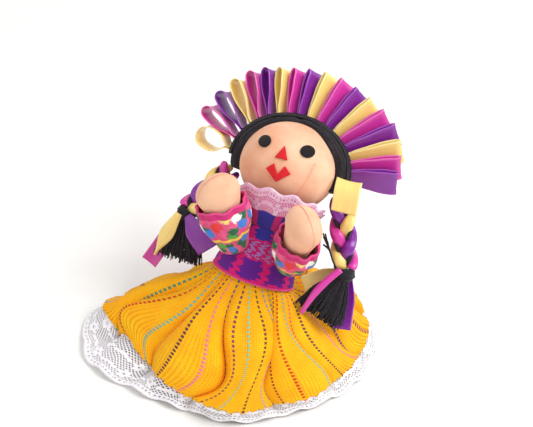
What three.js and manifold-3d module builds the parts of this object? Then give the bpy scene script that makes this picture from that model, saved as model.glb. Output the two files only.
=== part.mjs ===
// A seated cloth doll with a stuffed head and limbs, a ribbon headdress and two plaits.
// Millimetres, +Z up. The doll faces -Y, its own left is +X, and the origin is the middle of its flat seat.
import * as THREE from "three";
import { mergeVertices } from "three/addons/utils/BufferGeometryUtils.js";
import Module from "manifold-3d";

const wasm = await Module();
wasm.setup();

// Cloth and fits
const CLEARANCE = 0.3;
const SKIN = 0.8;
const FELT = 0.7;
const WEAVE = 0.9;
const LACE = 0.8;
const RIBBON_THICKNESS = 0.5;
const RIBBON_WIDTH = 12.5;
const TAIL_WIDTH = 9;

// Torso: heights run along its bent axis
const HIP_HEIGHT = 11;
const WAIST_HEIGHT = 37;
const CHEST_HEIGHT = 54;
const SHOULDER_HEIGHT = 64;
const TORSO_HEIGHT = 70;
const SEAT_WIDTH = 37;
const HIP_WIDTH = 41;
const WAIST_WIDTH = 36;
const CHEST_WIDTH = 33;
const SHOULDER_WIDTH = 27;
const NECK_WIDTH = 17;
const TORSO_DEPTH_SHARE = 0.82;
const BEND_START = 8;
const BEND_END = 37;
const RECLINE = THREE.MathUtils.degToRad(30);
const LEAN_HEADING = THREE.MathUtils.degToRad(30);

// Neck and head
const NECK_LENGTH = 2.2;
const NECK_DOME = 8.2;
const NECK_ROOM = 0.5;
const HEAD_WIDTH = 48;
const HEAD_DEPTH = 46;
const HEAD_HEIGHT = 44;
const HEAD_TURN = THREE.MathUtils.degToRad(-18);
const HEAD_TILT = THREE.MathUtils.degToRad(9);
const HEAD_LEAN = THREE.MathUtils.degToRad(7);

// Felt face
const EYE_WIDTH = 6.4;
const EYE_HEIGHT = 6;
const EYE_SPACING = 20.8;
const EYE_LEVEL = 7.8;
const NOSE_WIDTH = 6.2;
const NOSE_HEIGHT = 6.5;
const NOSE_LEVEL = 1.3;
const MOUTH_WIDTH = 12;
const MOUTH_HEIGHT = 8;
const MOUTH_LEVEL = -9.4;
const LIP_PEAK = 2.6;
const LIP_CORNER = 5;
const LIP_NOTCH = 3.4;

// Hair and headdress
const HAIR_TOP = 2.4;
const HAIR_SIDE = 5;
const HAIR_BACK = 4;
const HAIRLINE = -2.5;
const NAPE_LEVEL = -8;
const BAND_WIDTH = 9;
const BAND_THICKNESS = 1.2;
const BAND_SPAN = THREE.MathUtils.degToRad(182);
const LOOP_COUNT = 18;
const LOOP_SPAN = THREE.MathUtils.degToRad(168);
const LOOP_LENGTH = 22;
const LOOP_EXTRA_LENGTH = 3.5;
const FIRST_LOOP_LENGTH = 18;
const FIRST_LOOP_BULGE = 1.7;
const LOOP_LEAN = THREE.MathUtils.degToRad(16);
const LEANING_LOOP_SHARE = 0.2;
const LEANING_SPREAD_SHARE = 0.22;
const LONGEST_LOOP_SHARE = 0.82;
const LONG_LOOP_SHARE = 0.2;
const LOOP_CROWDING = 0.9;
const LOOP_OPEN_WIDTH = 6.6;
const LOOP_CLOSED_WIDTH = 2.7;
const LOOP_OPEN_SLANT = THREE.MathUtils.degToRad(17);
const LOOP_CLOSED_SLANT = THREE.MathUtils.degToRad(52);
const LOOP_SLANT_START_SHARE = 0.1;
const LOOP_SLANT_END_SHARE = 0.6;
const LOOP_BEND = [[-1, 0.6], [-0.74, 0.89], [0, 1], [0.74, 0.89], [1, 0.6]];
const LOOP_PINCH_RISE = 0.12;
const FLAP_LENGTH = 15;
const FLAP_FORWARD = 7;
const FLAP_RISE = 1;
const FLAP_FLARE = 2;

// Plaits: each leaves the hair behind the ear
const PLAIT_ROOT_DEPTH = 4;
const PLAIT_TUCK = { left: 0.6, right: 1.1 };
const PLAIT_LENGTH = { left: 35, right: 30 };
const PLAIT_SPLAY = { left: THREE.MathUtils.degToRad(17), right: THREE.MathUtils.degToRad(31) };
const PLAIT_TURNS = 1;
const STRAND_RADIUS = 2.0;
const STRAND_SWING = 4.2;
const STRAND_DEPTH = 3;
const TIE_RADIUS = 4.6;
const TIE_WRAP = 2;
const TASSEL_LENGTH = 25;
const TASSEL_WIDTH = 25;
const TASSEL_THICKNESS = 7;
const TASSEL_FAN_FROM = -0.1;
const TASSEL_FAN_TO = 0.9;
const TASSEL_TURN = { left: THREE.MathUtils.degToRad(36), right: THREE.MathUtils.degToRad(31) };
const TASSEL_FALL = { left: THREE.MathUtils.degToRad(-6), right: THREE.MathUtils.degToRad(14) };
const TAIL_PINCH = 3;
const TAIL_ASIDE = THREE.MathUtils.degToRad(30);
const TAIL_SPREAD = 2.5;
const TAIL_SHORT = 20;
const TAIL_MIDDLE = 26;
const TAIL_LONG = 28;
const TAIL_LONGEST = 36;
const TAILS = {
  left: [
    { colour: "magenta", face: -1, lean: THREE.MathUtils.degToRad(-8), length: TAIL_LONG },
    { colour: "purple", face: 1, lean: THREE.MathUtils.degToRad(26), length: TAIL_MIDDLE },
    { colour: "gold", face: 1, lean: THREE.MathUtils.degToRad(-36), length: TAIL_SHORT },
  ],
  right: [
    { colour: "gold", face: -1, lean: THREE.MathUtils.degToRad(20), length: TAIL_MIDDLE },
    { colour: "purple", face: -1, lean: THREE.MathUtils.degToRad(-44), length: TAIL_SHORT },
    { colour: "magenta", face: 1, lean: THREE.MathUtils.degToRad(24), length: TAIL_LONGEST },
  ],
};

// Arms and sleeves
const ARM_LENGTH = 39;
const ARM_ROOT_RADIUS = 6.4;
const ARM_RADIUS = 6.8;
const HAND_RADIUS = 9;
const HAND_BROAD_SHARE = 1.2;
const HAND_SLIM_SHARE = 0.9;
const HAND_SEAM = { left: THREE.MathUtils.degToRad(-60), right: THREE.MathUtils.degToRad(-150) };
const ARM_SINK = 1.4;
const ARM_JOINT_HEIGHT = 52;
const ARM_HEADING = { left: THREE.MathUtils.degToRad(-54), right: THREE.MathUtils.degToRad(-138) };
const ARM_REACH = { left: at(-0.12, -0.68, 0.71), right: at(-0.5, -0.46, 0.74) };
const SLEEVE_START = 7;
const SLEEVE_LENGTH = { left: 12, right: 17 };
const SLEEVE_RADIUS = 11.4;
const LIMB_OPENING = 3.5;

// Legs
const LEG_LENGTH = 27;
const LEG_RADIUS = 8;
const LEG_SPACING = 21;
const LEG_SINK = 3.4;
const LEG_SPLAY = THREE.MathUtils.degToRad(22);
const FLOOR_GAP = 0.3;

// Blouse, collar, skirt and lace hem
const BLOUSE_BOTTOM = 36;
const BLOUSE_TOP = 65;
const SKIRT_TUCK = 3;
const TUCK_ROOM = 0.75;
const COLLAR_BOTTOM = 63;
const COLLAR_FRONT = 83;
const COLLAR_BACK = 68;
const COLLAR_FLARE = 9.5;
const COLLAR_WAVE = 0.6;
const COLLAR_SCALLOPS = 13;
const SKIRT_REACH = 71;
const HEM_SHARES = [
  0.901, 0.873, 0.761, 0.662, 0.606, 0.592, 0.662, 0.789,
  1, 0.817, 0.754, 0.782, 0.81, 0.775, 0.803, 0.852,
];
const HEM_LEVEL = 7;
const DRAPE_EASE = 6.5;
const DRAPE_LOW = 16;
const LAP_START_SHARE = 0.3;
const LAP_END_SHARE = 0.8;
const DRAPE_SHARE = 0.62;
const FOLD_COUNT = 12;
const FOLD_HEIGHT = 4;
const FOLD_DRIFT = 1;
const FOLD_SMALL_DRIFT = 0.7;
const LACE_WIDTH = 21;
const LACE_SHARES = [
  0.333, 0.238, 0.143, 0.119, 0.119, 0.119, 0.119, 0.143,
  0.381, 1, 0.571, 0.19, 0.119, 0.143, 0.19, 0.286,
];
const LACE_OVERLAP = 2;
const LACE_LEVEL = 0.7;
const LACE_RIPPLE = 1.2;

// Mesh resolution
const BODY_SIDES = 18;
const TORSO_ROWS = 9;
const HEAD_SIDES = 18;
const HEAD_ROWS = 10;
const LIMB_SIDES = 9;
const SOCKET_SIDES = 16;
const SOCKET_ROWS = 8;
const RING_STEPS = 3;
const COLLAR_STEPS = 3;
const SKIRT_SIDES = 60;
const SKIRT_ROWS = 6;
const STRAND_SIDES = 5;
const STRAND_STEPS = 16;
const LOOP_STEPS = 8;
const TAIL_STEPS = 6;
const TASSEL_ROWS = 4;
const BLOUSE_ROWS = 6;
const COLLAR_ROWS = 2;
const EYE_SIDES = 14;

const COTTON_ROUGHNESS = 0.85;
const SATIN_ROUGHNESS = 0.35;

const COLOURS = {
  skin: 0xf6cfa8,
  felt_black: 0x141214,
  felt_red: 0xd4242f,
  yarn: 0x16131a,
  gold: 0xe6bd55,
  magenta: 0xc8349a,
  purple: 0x6f1590,
  stuffing: 0xf4f1ea,
  weave: 0xb0287f,
  lace: 0xf5eff4,
  sleeve: 0xc9476f,
  skirt: 0xf5a31c,
};
const RIBBON_ORDER = ["gold", "magenta", "purple"];
const SIDES = { left: 1, right: -1 };

const doll = new THREE.Group();

/** A point or direction. */
function at(x, y, z) {
  return new THREE.Vector3(x, y, z);
}

/** A named piece with its own material. */
function addPiece(parent, name, geometry, colour, roughness = COTTON_ROUGHNESS) {
  const material = new THREE.MeshStandardMaterial({ color: COLOURS[colour], roughness, metalness: 0 });
  const mesh = new THREE.Mesh(geometry, material);
  mesh.name = name;
  parent.add(mesh);
}

/** A closed geometry as a solid that can be cut and joined. */
function solidOf(geometry) {
  const bare = geometry.clone();
  bare.deleteAttribute("normal");
  bare.deleteAttribute("uv");
  const merged = mergeVertices(bare, 1e-4);
  const vertProperties = Float32Array.from(merged.attributes.position.array);
  const triVerts = Uint32Array.from(merged.index.array);
  return new wasm.Manifold(new wasm.Mesh({ numProp: 3, vertProperties, triVerts }));
}

/** A cut or joined solid as a geometry again. */
function geometryOf(solid) {
  const mesh = solid.getMesh();
  const geometry = new THREE.BufferGeometry();
  geometry.setAttribute("position", new THREE.BufferAttribute(Float32Array.from(mesh.vertProperties), 3));
  geometry.setIndex(new THREE.BufferAttribute(Uint32Array.from(mesh.triVerts), 1));
  return geometry;
}

/** One geometry with others cut away. */
function cut(geometry, ...tools) {
  let solid = solidOf(geometry);
  for (const tool of tools) solid = solid.subtract(solidOf(tool));
  return geometryOf(solid);
}

/** What two geometries share. */
function common(first, second) {
  return geometryOf(solidOf(first).intersect(solidOf(second)));
}

/** A closed skin through rows of points; an open run of rows is capped, a closed run joins last to first. */
function loft(rows, closed = false) {
  const count = rows[0].length;
  const points = rows.flat();
  const faces = [];
  const spans = closed ? rows.length : rows.length - 1;
  for (let row = 0; row < spans; row++) {
    const here = row * count;
    const next = ((row + 1) % rows.length) * count;
    for (let side = 0; side < count; side++) {
      const turn = (side + 1) % count;
      faces.push(here + side, here + turn, next + turn, here + side, next + turn, next + side);
    }
  }
  if (!closed) {
    const last = (rows.length - 1) * count;
    const middles = [rows[0], rows.at(-1)].map((row) => middleOf(row));
    const start = points.push(...middles) - 2;
    for (let side = 0; side < count; side++) {
      const turn = (side + 1) % count;
      faces.push(start, turn, side, start + 1, last + side, last + turn);
    }
  }
  const geometry = new THREE.BufferGeometry().setFromPoints(points);
  geometry.setIndex(faces);
  return geometry;
}

/** The middle of a row of points. */
function middleOf(row) {
  const sum = row.reduce((total, point) => total.add(point), at(0, 0, 0));
  return sum.divideScalar(row.length);
}

/** Evenly spread numbers from first to last. */
function spread(first, last, steps) {
  return Array.from({ length: steps + 1 }, (_, i) => first + ((last - first) * i) / steps);
}

/** An ellipsoid with its poles on Z. */
function ellipsoid(width, depth, height, sides = HEAD_SIDES, rows = HEAD_ROWS) {
  const ball = new THREE.SphereGeometry(1, sides, rows);
  ball.rotateX(Math.PI / 2);
  ball.scale(width / 2, depth / 2, height / 2);
  return ball;
}

/** A round ball at a point, for joint sockets and rounded ends. */
function ball(centre, radius) {
  return ellipsoid(2 * radius, 2 * radius, 2 * radius, SOCKET_SIDES, SOCKET_ROWS).translate(...centre);
}

/** A box between two corners. */
function box(low, high) {
  const size = high.clone().sub(low);
  const middle = low.clone().add(high).multiplyScalar(0.5);
  return new THREE.BoxGeometry(...size).translate(...middle);
}

/** A flat ribbon along a path, with its width along one direction and given at each share of the way. */
function ribbon(path, across, width, steps) {
  const rows = path.getPoints(steps).map((point, i) => {
    const side = across.clone().multiplyScalar(width(i / steps) / 2);
    const face = path.getTangent(i / steps).cross(side).setLength(RIBBON_THICKNESS / 2);
    const corners = [side.clone().add(face), face.clone().sub(side), side.clone().add(face).negate()];
    corners.push(side.clone().sub(face));
    return corners.map((corner) => corner.add(point));
  });
  return loft(rows);
}

// The torso's axis rises from the seat, bends back and to the left, and runs straight to the neck.
function torsoFrame(height) {
  const radius = (BEND_END - BEND_START) / RECLINE;
  const bent = THREE.MathUtils.clamp((height - BEND_START) / (BEND_END - BEND_START), 0, 1) * RECLINE;
  const beyond = Math.max(0, height - BEND_END);
  const back = radius * (1 - Math.cos(bent)) + beyond * Math.sin(bent);
  const rise = Math.min(height, BEND_START) + radius * Math.sin(bent) + beyond * Math.cos(bent);
  const heading = at(Math.sin(LEAN_HEADING), Math.cos(LEAN_HEADING), 0);
  const hinge = at(-heading.y, heading.x, 0);
  const turn = new THREE.Quaternion().setFromAxisAngle(hinge, bent);
  const place = heading.multiplyScalar(back).setZ(rise);
  return new THREE.Matrix4().compose(place, turn, at(1, 1, 1));
}

const torsoWidths = new THREE.CubicInterpolant(
  [0, HIP_HEIGHT, WAIST_HEIGHT, CHEST_HEIGHT, SHOULDER_HEIGHT, TORSO_HEIGHT],
  [SEAT_WIDTH, HIP_WIDTH, WAIST_WIDTH, CHEST_WIDTH, SHOULDER_WIDTH, NECK_WIDTH],
  1,
  new Float32Array(1),
);

/** Half the torso's width at a height. */
function torsoHalfWidth(height) {
  return torsoWidths.evaluate(THREE.MathUtils.clamp(height, 0, TORSO_HEIGHT))[0] / 2;
}

/** A point on or off the torso's surface, in the torso's frame at that height. */
function torsoEdge(height, angle, offset) {
  const half = torsoHalfWidth(height);
  const x = (half + offset) * Math.cos(angle);
  const y = (half * TORSO_DEPTH_SHARE + offset) * Math.sin(angle);
  return at(x, y, 0);
}

/** A ring round the torso at a height, offset from its surface. */
function torsoRing(height, offset, sides = BODY_SIDES) {
  const frame = torsoFrame(height);
  return spread(0, 2 * Math.PI, sides)
    .slice(0, -1)
    .map((angle) => torsoEdge(height, angle, offset).applyMatrix4(frame));
}

/** The torso's shape, grown or shrunk all round. */
function torsoShape(offset) {
  return loft(spread(-offset, TORSO_HEIGHT + offset, TORSO_ROWS).map((height) => torsoRing(height, offset)));
}

/** A stuffed limb along +Z: a round root at the origin, a slim middle and a rounded end. */
function limbShape(length, root, middle, end, offset) {
  const belly = length - end;
  const profile = new THREE.SplineCurve([
    new THREE.Vector2(root + offset, 0),
    new THREE.Vector2(middle + offset, belly / 2),
    new THREE.Vector2(end + offset, belly),
  ]).getPoints(RING_STEPS);
  const start = new THREE.Path().absarc(0, 0, root + offset, -Math.PI / 2, 0).getPoints(RING_STEPS);
  const finish = new THREE.Path().absarc(0, belly, end + offset, 0, Math.PI / 2).getPoints(RING_STEPS + 1);
  const outline = [...start.slice(0, -1), ...profile, ...finish.slice(1)];
  outline[0].x = 0;
  outline.at(-1).x = 0;
  return new THREE.LatheGeometry(outline, LIMB_SIDES).rotateX(Math.PI / 2);
}

/** A limb's cloth skin, open at its root where it is filled and sewn on. */
function limbSkin(length, root, middle, end) {
  const shape = limbShape(length, root, middle, end, 0);
  const hollow = limbShape(length, root, middle, end, -SKIN);
  const mouth = new THREE.CylinderGeometry(LIMB_OPENING, LIMB_OPENING, 2 * root, LIMB_SIDES);
  return cut(shape, hollow, mouth.rotateX(Math.PI / 2).translate(0, 0, -root));
}

/** What fills a limb, clear of its skin. */
function limbFilling(length, root, middle, end) {
  return limbShape(length, root, middle, end, -SKIN - CLEARANCE);
}

// Where the limbs join the torso
const shoulderFrame = torsoFrame(ARM_JOINT_HEIGHT);
const hipHalf = torsoHalfWidth(LEG_RADIUS + FLOOR_GAP);
const hipFront = hipHalf * TORSO_DEPTH_SHARE * Math.sqrt(1 - (LEG_SPACING / 2 / hipHalf) ** 2);
const legForward = hipFront + LEG_RADIUS + CLEARANCE - LEG_SINK;
const armSockets = {};
const legSockets = {};
for (const [side, sign] of Object.entries(SIDES)) {
  const stand = ARM_ROOT_RADIUS + CLEARANCE - ARM_SINK;
  armSockets[side] = torsoEdge(ARM_JOINT_HEIGHT, ARM_HEADING[side], stand);
  legSockets[side] = at((sign * LEG_SPACING) / 2, -legForward, LEG_RADIUS + FLOOR_GAP);
}

/** The hollows that the limbs' roots turn in, wider by a margin: legs also swing down out of theirs. */
function limbHollows(margin) {
  const hollows = [];
  const legHollow = LEG_RADIUS + margin;
  for (const side of Object.keys(SIDES)) {
    const shoulder = armSockets[side].clone().applyMatrix4(shoulderFrame);
    const hip = legSockets[side];
    const channel = new THREE.CylinderGeometry(legHollow, legHollow, LEG_LENGTH, SOCKET_SIDES);
    channel.rotateX(Math.PI / 2).translate(hip.x, hip.y, hip.z - LEG_LENGTH / 2);
    hollows.push(ball(shoulder, ARM_ROOT_RADIUS + margin), ball(hip, legHollow), channel);
  }
  return hollows;
}

// Torso
const torsoInside = torsoShape(-SKIN);
addPiece(doll, "torso_skin", cut(torsoShape(0), torsoInside, ...limbHollows(CLEARANCE)), "skin");
const torsoFilling = cut(torsoShape(-SKIN - CLEARANCE), ...limbHollows(2 * CLEARANCE));
addPiece(doll, "torso_stuffing", torsoFilling, "stuffing");

// Blouse: it widens at the waist to take the top of the skirt
const skirtTop = BLOUSE_BOTTOM + SKIRT_TUCK;
function blouseOffset(height) {
  const low = 1 - THREE.MathUtils.smoothstep(height, skirtTop, skirtTop + SKIRT_TUCK);
  return CLEARANCE + low * (WEAVE + TUCK_ROOM);
}
const blouseHeights = [BLOUSE_BOTTOM, skirtTop, ...spread(skirtTop + SKIRT_TUCK, BLOUSE_TOP, BLOUSE_ROWS)];
const blouseOutside = blouseHeights.map((height) => torsoRing(height, blouseOffset(height) + WEAVE));
const blouseInside = blouseHeights.map((height) => torsoRing(height, blouseOffset(height))).reverse();
const blouse = loft([...blouseOutside, ...blouseInside], true);
addPiece(doll, "blouse", cut(blouse, ...limbHollows(CLEARANCE)), "weave");

// Collar: a lace frill that spreads off the blouse and stands up in front of the chin
function collarRing(share, offset) {
  const sewn = CLEARANCE + WEAVE + CLEARANCE + offset;
  const angles = spread(0, 2 * Math.PI, COLLAR_STEPS * COLLAR_SCALLOPS).slice(0, -1);
  return angles.map((angle) => {
    const top = THREE.MathUtils.lerp(COLLAR_BACK, COLLAR_FRONT, (1 - Math.sin(angle)) / 2);
    const flare = COLLAR_FLARE + COLLAR_WAVE * Math.cos(angle * COLLAR_SCALLOPS);
    const frame = torsoFrame(THREE.MathUtils.lerp(COLLAR_BOTTOM, top, share));
    return torsoEdge(COLLAR_BOTTOM, angle, sewn + share * flare).applyMatrix4(frame);
  });
}
const collarShares = spread(0, 1, COLLAR_ROWS);
const collarOutside = collarShares.map((share) => collarRing(share, LACE));
const collarInside = collarShares.map((share) => collarRing(share, 0)).reverse();
addPiece(doll, "collar_lace", loft([...collarOutside, ...collarInside], true), "lace");

// Skirt: it leaves the waist, drapes over the legs and falls to a wavy hem
const skirtAngles = spread(0, 2 * Math.PI, SKIRT_SIDES).slice(0, -1);
const flareHeight = BLOUSE_BOTTOM - 2 * CLEARANCE;
const flareFrame = torsoFrame(flareHeight);

/** A closed line round the doll through reaches at even headings, from its left towards its back. */
function lineRound(reaches, level) {
  const step = (2 * Math.PI) / reaches.length;
  const corners = reaches.map((reach, i) => at(reach, 0, level).applyAxisAngle(at(0, 0, 1), i * step));
  return new THREE.CatmullRomCurve3(corners, true);
}
const hemReach = HEM_SHARES.map((part) => part * SKIRT_REACH);
const hemLine = lineRound(hemReach, HEM_LEVEL);
const footReach = hemReach.map((reach, i) => reach + LACE_SHARES[i] * LACE_WIDTH);
const footLine = lineRound(footReach, LACE_LEVEL);

/** The hem's point under one direction. */
function hemPoint(angle) {
  return hemLine.getPoint(angle / (2 * Math.PI));
}

/** How far a fold lifts the cloth: soft crests that are uneven round the skirt. */
function foldLift(angle) {
  const drift = FOLD_DRIFT * Math.sin(2 * angle) + FOLD_SMALL_DRIFT * Math.sin(3 * angle + 1);
  return (FOLD_HEIGHT / 2) * (1 + Math.cos(FOLD_COUNT * angle + drift));
}

/** The cloth's upper face at a direction and a share of the way down, moved in by depth. */
function skirtPoint(angle, share, depth) {
  const waist = torsoEdge(flareHeight, angle, CLEARANCE + WEAVE).applyMatrix4(flareFrame);
  const hem = hemPoint(angle);
  const overLegs = THREE.MathUtils.smoothstep(-Math.sin(angle), LAP_START_SHARE, LAP_END_SHARE);
  const level = THREE.MathUtils.lerp(DRAPE_LOW, 2 * LEG_RADIUS + FLOOR_GAP + DRAPE_EASE, overLegs);
  const drape = waist.clone().lerp(hem, DRAPE_SHARE).setZ(level);
  const pull = drape.multiplyScalar(2).addScaledVector(waist, -0.5).addScaledVector(hem, -0.5);
  const line = new THREE.QuadraticBezierCurve3(waist, pull, hem);
  const point = line.getPoint(share);
  const along = line.getTangent(share);
  const round = at(-Math.sin(angle), Math.cos(angle), 0);
  const out = along.cross(round).normalize();
  const lift = foldLift(angle) * share * share - depth;
  return point.addScaledVector(out, lift);
}

/** The skirt's rows on one face, from the tuck under the blouse to the hem. */
function skirtRows(depth) {
  const tuck = torsoRing(skirtTop, CLEARANCE + WEAVE - depth, SKIRT_SIDES);
  const collar = torsoRing(flareHeight, CLEARANCE + WEAVE - depth, SKIRT_SIDES);
  const flare = spread(0, 1, SKIRT_ROWS).slice(1);
  const rows = flare.map((share) => skirtAngles.map((angle) => skirtPoint(angle, share, depth)));
  return [tuck, collar, ...rows].reverse();
}
addPiece(doll, "skirt", loft([...skirtRows(0), ...skirtRows(WEAVE).reverse()], true), "skirt");

// Lace hem: sewn under the skirt's edge, it runs out and down to the floor
function laceRows(depth) {
  const sewn = 1 - LACE_OVERLAP / LEG_LENGTH;
  const under = WEAVE + 2 * CLEARANCE + depth;
  const top = skirtAngles.map((angle) => skirtPoint(angle, sewn, under));
  const edge = skirtAngles.map((angle) => skirtPoint(angle, 1, under));
  const foot = skirtAngles.map((angle) => {
    const ripple = LACE_RIPPLE * (1 + Math.cos(2 * FOLD_COUNT * angle));
    const fall = footLine.getPoint(angle / (2 * Math.PI));
    return fall.setZ(LACE_LEVEL + LACE + ripple - depth);
  });
  return [foot, edge, top];
}
addPiece(doll, "hem_lace", loft([...laceRows(0), ...laceRows(LACE).reverse()], true), "lace");

// Legs: they lie on the floor, straight out from the hips
for (const [side, sign] of Object.entries(SIDES)) {
  const hip = new THREE.Group();
  hip.name = `${side}_hip`;
  hip.position.copy(legSockets[side]);
  hip.rotation.set(Math.PI / 2, 0, sign * LEG_SPLAY, "ZXY");
  doll.add(hip);
  const sizes = [LEG_LENGTH, LEG_RADIUS, LEG_RADIUS, LEG_RADIUS];
  addPiece(hip, `${side}_leg_skin`, limbSkin(...sizes), "skin");
  addPiece(hip, `${side}_leg_stuffing`, limbFilling(...sizes), "stuffing");
}

// Arms: raised forwards from round roots in the armholes, with a loose sleeve on each
const chest = new THREE.Group();
chest.applyMatrix4(shoulderFrame);
doll.add(chest);

/** A puffed sleeve round an arm along +Z. */
function sleeveShape(length) {
  const inner = ARM_RADIUS + CLEARANCE;
  const finish = SLEEVE_START + length;
  const puff = new THREE.SplineCurve([
    new THREE.Vector2(inner, SLEEVE_START),
    new THREE.Vector2(SLEEVE_RADIUS - 2 * WEAVE, SLEEVE_START + length / 4),
    new THREE.Vector2(SLEEVE_RADIUS - WEAVE, finish),
  ]).getPoints(RING_STEPS);
  const outside = puff.map((point) => new THREE.Vector2(point.x + WEAVE, point.y));
  const outline = [...outside, ...puff.reverse(), outside[0].clone()];
  return new THREE.LatheGeometry(outline, SOCKET_SIDES).rotateX(Math.PI / 2);
}

/** An arm's geometry, pressed from round at its root to a broad hand along its seam. */
function pressed(geometry, seam) {
  geometry.rotateZ(-seam);
  const places = geometry.attributes.position;
  for (let i = 0; i < places.count; i++) {
    const share = THREE.MathUtils.smoothstep(places.getZ(i), 0, ARM_LENGTH - HAND_RADIUS);
    places.setX(i, places.getX(i) * THREE.MathUtils.lerp(1, HAND_BROAD_SHARE, share));
    places.setY(i, places.getY(i) * THREE.MathUtils.lerp(1, HAND_SLIM_SHARE, share));
  }
  return geometry.rotateZ(seam);
}
for (const side of Object.keys(SIDES)) {
  const shoulder = new THREE.Group();
  shoulder.name = `${side}_shoulder`;
  shoulder.position.copy(armSockets[side]);
  shoulder.quaternion.setFromUnitVectors(at(0, 0, 1), ARM_REACH[side].clone().normalize());
  chest.add(shoulder);
  const sizes = [ARM_LENGTH, ARM_ROOT_RADIUS, ARM_RADIUS, HAND_RADIUS];
  addPiece(shoulder, `${side}_arm_skin`, pressed(limbSkin(...sizes), HAND_SEAM[side]), "skin");
  addPiece(shoulder, `${side}_arm_stuffing`, pressed(limbFilling(...sizes), HAND_SEAM[side]), "stuffing");
  addPiece(shoulder, `${side}_sleeve`, sleeveShape(SLEEVE_LENGTH[side]), "sleeve");
}

// Neck: a stub on the torso with a domed top that the head turns and nods on
const neck = new THREE.Group();
neck.name = "neck_turn";
neck.applyMatrix4(torsoFrame(TORSO_HEIGHT));
neck.rotateZ(HEAD_TURN);
doll.add(neck);
const neckArc = new THREE.Path().absarc(0, NECK_LENGTH, NECK_DOME, 0, Math.PI / 2);
const neckProfile = neckArc.getPoints(RING_STEPS + 1);
neckProfile.at(-1).x = 0;
neckProfile.unshift(new THREE.Vector2(0, CLEARANCE), new THREE.Vector2(NECK_DOME, CLEARANCE));
const neckShape = new THREE.LatheGeometry(neckProfile, BODY_SIDES).rotateX(Math.PI / 2);
addPiece(neck, "neck_stub", neckShape, "skin");

// Head: its centre stands over the neck's dome so that the opening fits round it
const nod = new THREE.Group();
nod.name = "head_nod";
nod.position.z = NECK_LENGTH;
nod.rotation.set(-HEAD_TILT, -HEAD_LEAN, 0);
neck.add(nod);
const opening = NECK_DOME + NECK_ROOM;
const headRise = (HEAD_HEIGHT / 2) * Math.sqrt(1 - (opening / (HEAD_WIDTH / 2)) ** 2);
const head = new THREE.Group();
head.position.z = headRise;
nod.add(head);

/** The head's shape, grown or shrunk all round. */
function headShape(offset) {
  return ellipsoid(HEAD_WIDTH + 2 * offset, HEAD_DEPTH + 2 * offset, HEAD_HEIGHT + 2 * offset);
}
const neckHollow = ellipsoid(2 * opening, 2 * opening, 2 * opening, BODY_SIDES, HEAD_ROWS);
neckHollow.translate(0, 0, -headRise);
const neckReach = new THREE.CylinderGeometry(opening, opening, HEAD_HEIGHT, BODY_SIDES);
neckReach.rotateX(Math.PI / 2).translate(0, 0, -headRise - HEAD_HEIGHT / 2);
addPiece(head, "head_skin", cut(headShape(0), headShape(-SKIN), neckHollow, neckReach), "skin");
addPiece(head, "head_stuffing", cut(headShape(-SKIN - CLEARANCE), neckHollow, neckReach), "stuffing");

/** A felt piece laid on the face, from its outline seen from the front. */
function feltPatch(outline) {
  const shape = new THREE.Shape(outline);
  const prism = new THREE.ExtrudeGeometry(shape, { depth: HEAD_DEPTH, bevelEnabled: false });
  prism.rotateX(Math.PI / 2);
  const layer = cut(headShape(CLEARANCE + FELT), headShape(CLEARANCE));
  return common(layer, prism);
}

/** An outline mirrored left to right after its right half, from the top down. */
function mirrored(points) {
  const flipped = points.map(([x, y]) => new THREE.Vector2(-x, y)).reverse();
  const kept = flipped.filter((point) => Math.abs(point.x) > 0);
  return [...points.map(([x, y]) => new THREE.Vector2(x, y)), ...kept];
}
for (const [side, sign] of Object.entries(SIDES)) {
  const middle = (sign * EYE_SPACING) / 2;
  const eye = new THREE.EllipseCurve(middle, EYE_LEVEL, EYE_WIDTH / 2, EYE_HEIGHT / 2);
  addPiece(head, `${side}_eye`, feltPatch(eye.getPoints(EYE_SIDES).slice(0, -1)), "felt_black");
}
const nose = mirrored([[0, NOSE_LEVEL + NOSE_HEIGHT], [NOSE_WIDTH / 2, NOSE_LEVEL]]);
addPiece(head, "nose", feltPatch(nose), "felt_red");
const mouthTop = MOUTH_LEVEL + MOUTH_HEIGHT;
const mouth = mirrored([
  [0, MOUTH_LEVEL + LIP_NOTCH],
  [LIP_PEAK, mouthTop],
  [MOUTH_WIDTH / 2, MOUTH_LEVEL + LIP_CORNER],
  [0, MOUTH_LEVEL],
]);
addPiece(head, "mouth", feltPatch(mouth), "felt_red");

// Hair: a yarn cap over the back and sides, thicker at the ears
const hairSize = [HEAD_WIDTH + 2 * HAIR_SIDE, HEAD_DEPTH + 2 * HAIR_BACK, HEAD_HEIGHT + 2 * HAIR_TOP];

/** The hair's outer shape, grown all round. */
function hairShape(offset) {
  return ellipsoid(...hairSize.map((size) => size + 2 * offset));
}
const face = box(at(-HEAD_WIDTH, -HEAD_DEPTH, -HEAD_HEIGHT), at(HEAD_WIDTH, HAIRLINE, HEAD_HEIGHT));
const nape = box(at(-HEAD_WIDTH, -HEAD_DEPTH, -HEAD_HEIGHT), at(HEAD_WIDTH, HEAD_DEPTH, NAPE_LEVEL));
addPiece(head, "hair_cap", cut(hairShape(0), headShape(CLEARANCE), face, nape), "yarn");

// Headdress band: a strip over the hair from ear to ear
const bandTop = CLEARANCE + BAND_THICKNESS;
const bandEnd = -HEAD_HEIGHT * Math.sin(BAND_SPAN / 2 - Math.PI / 2);
const bandSlice = box(at(-HEAD_WIDTH, HAIRLINE, bandEnd), at(HEAD_WIDTH, HAIRLINE + BAND_WIDTH, HEAD_HEIGHT));
const bandLayer = cut(hairShape(bandTop), hairShape(CLEARANCE));
addPiece(head, "headdress_band", common(bandLayer, bandSlice), "yarn");

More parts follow.
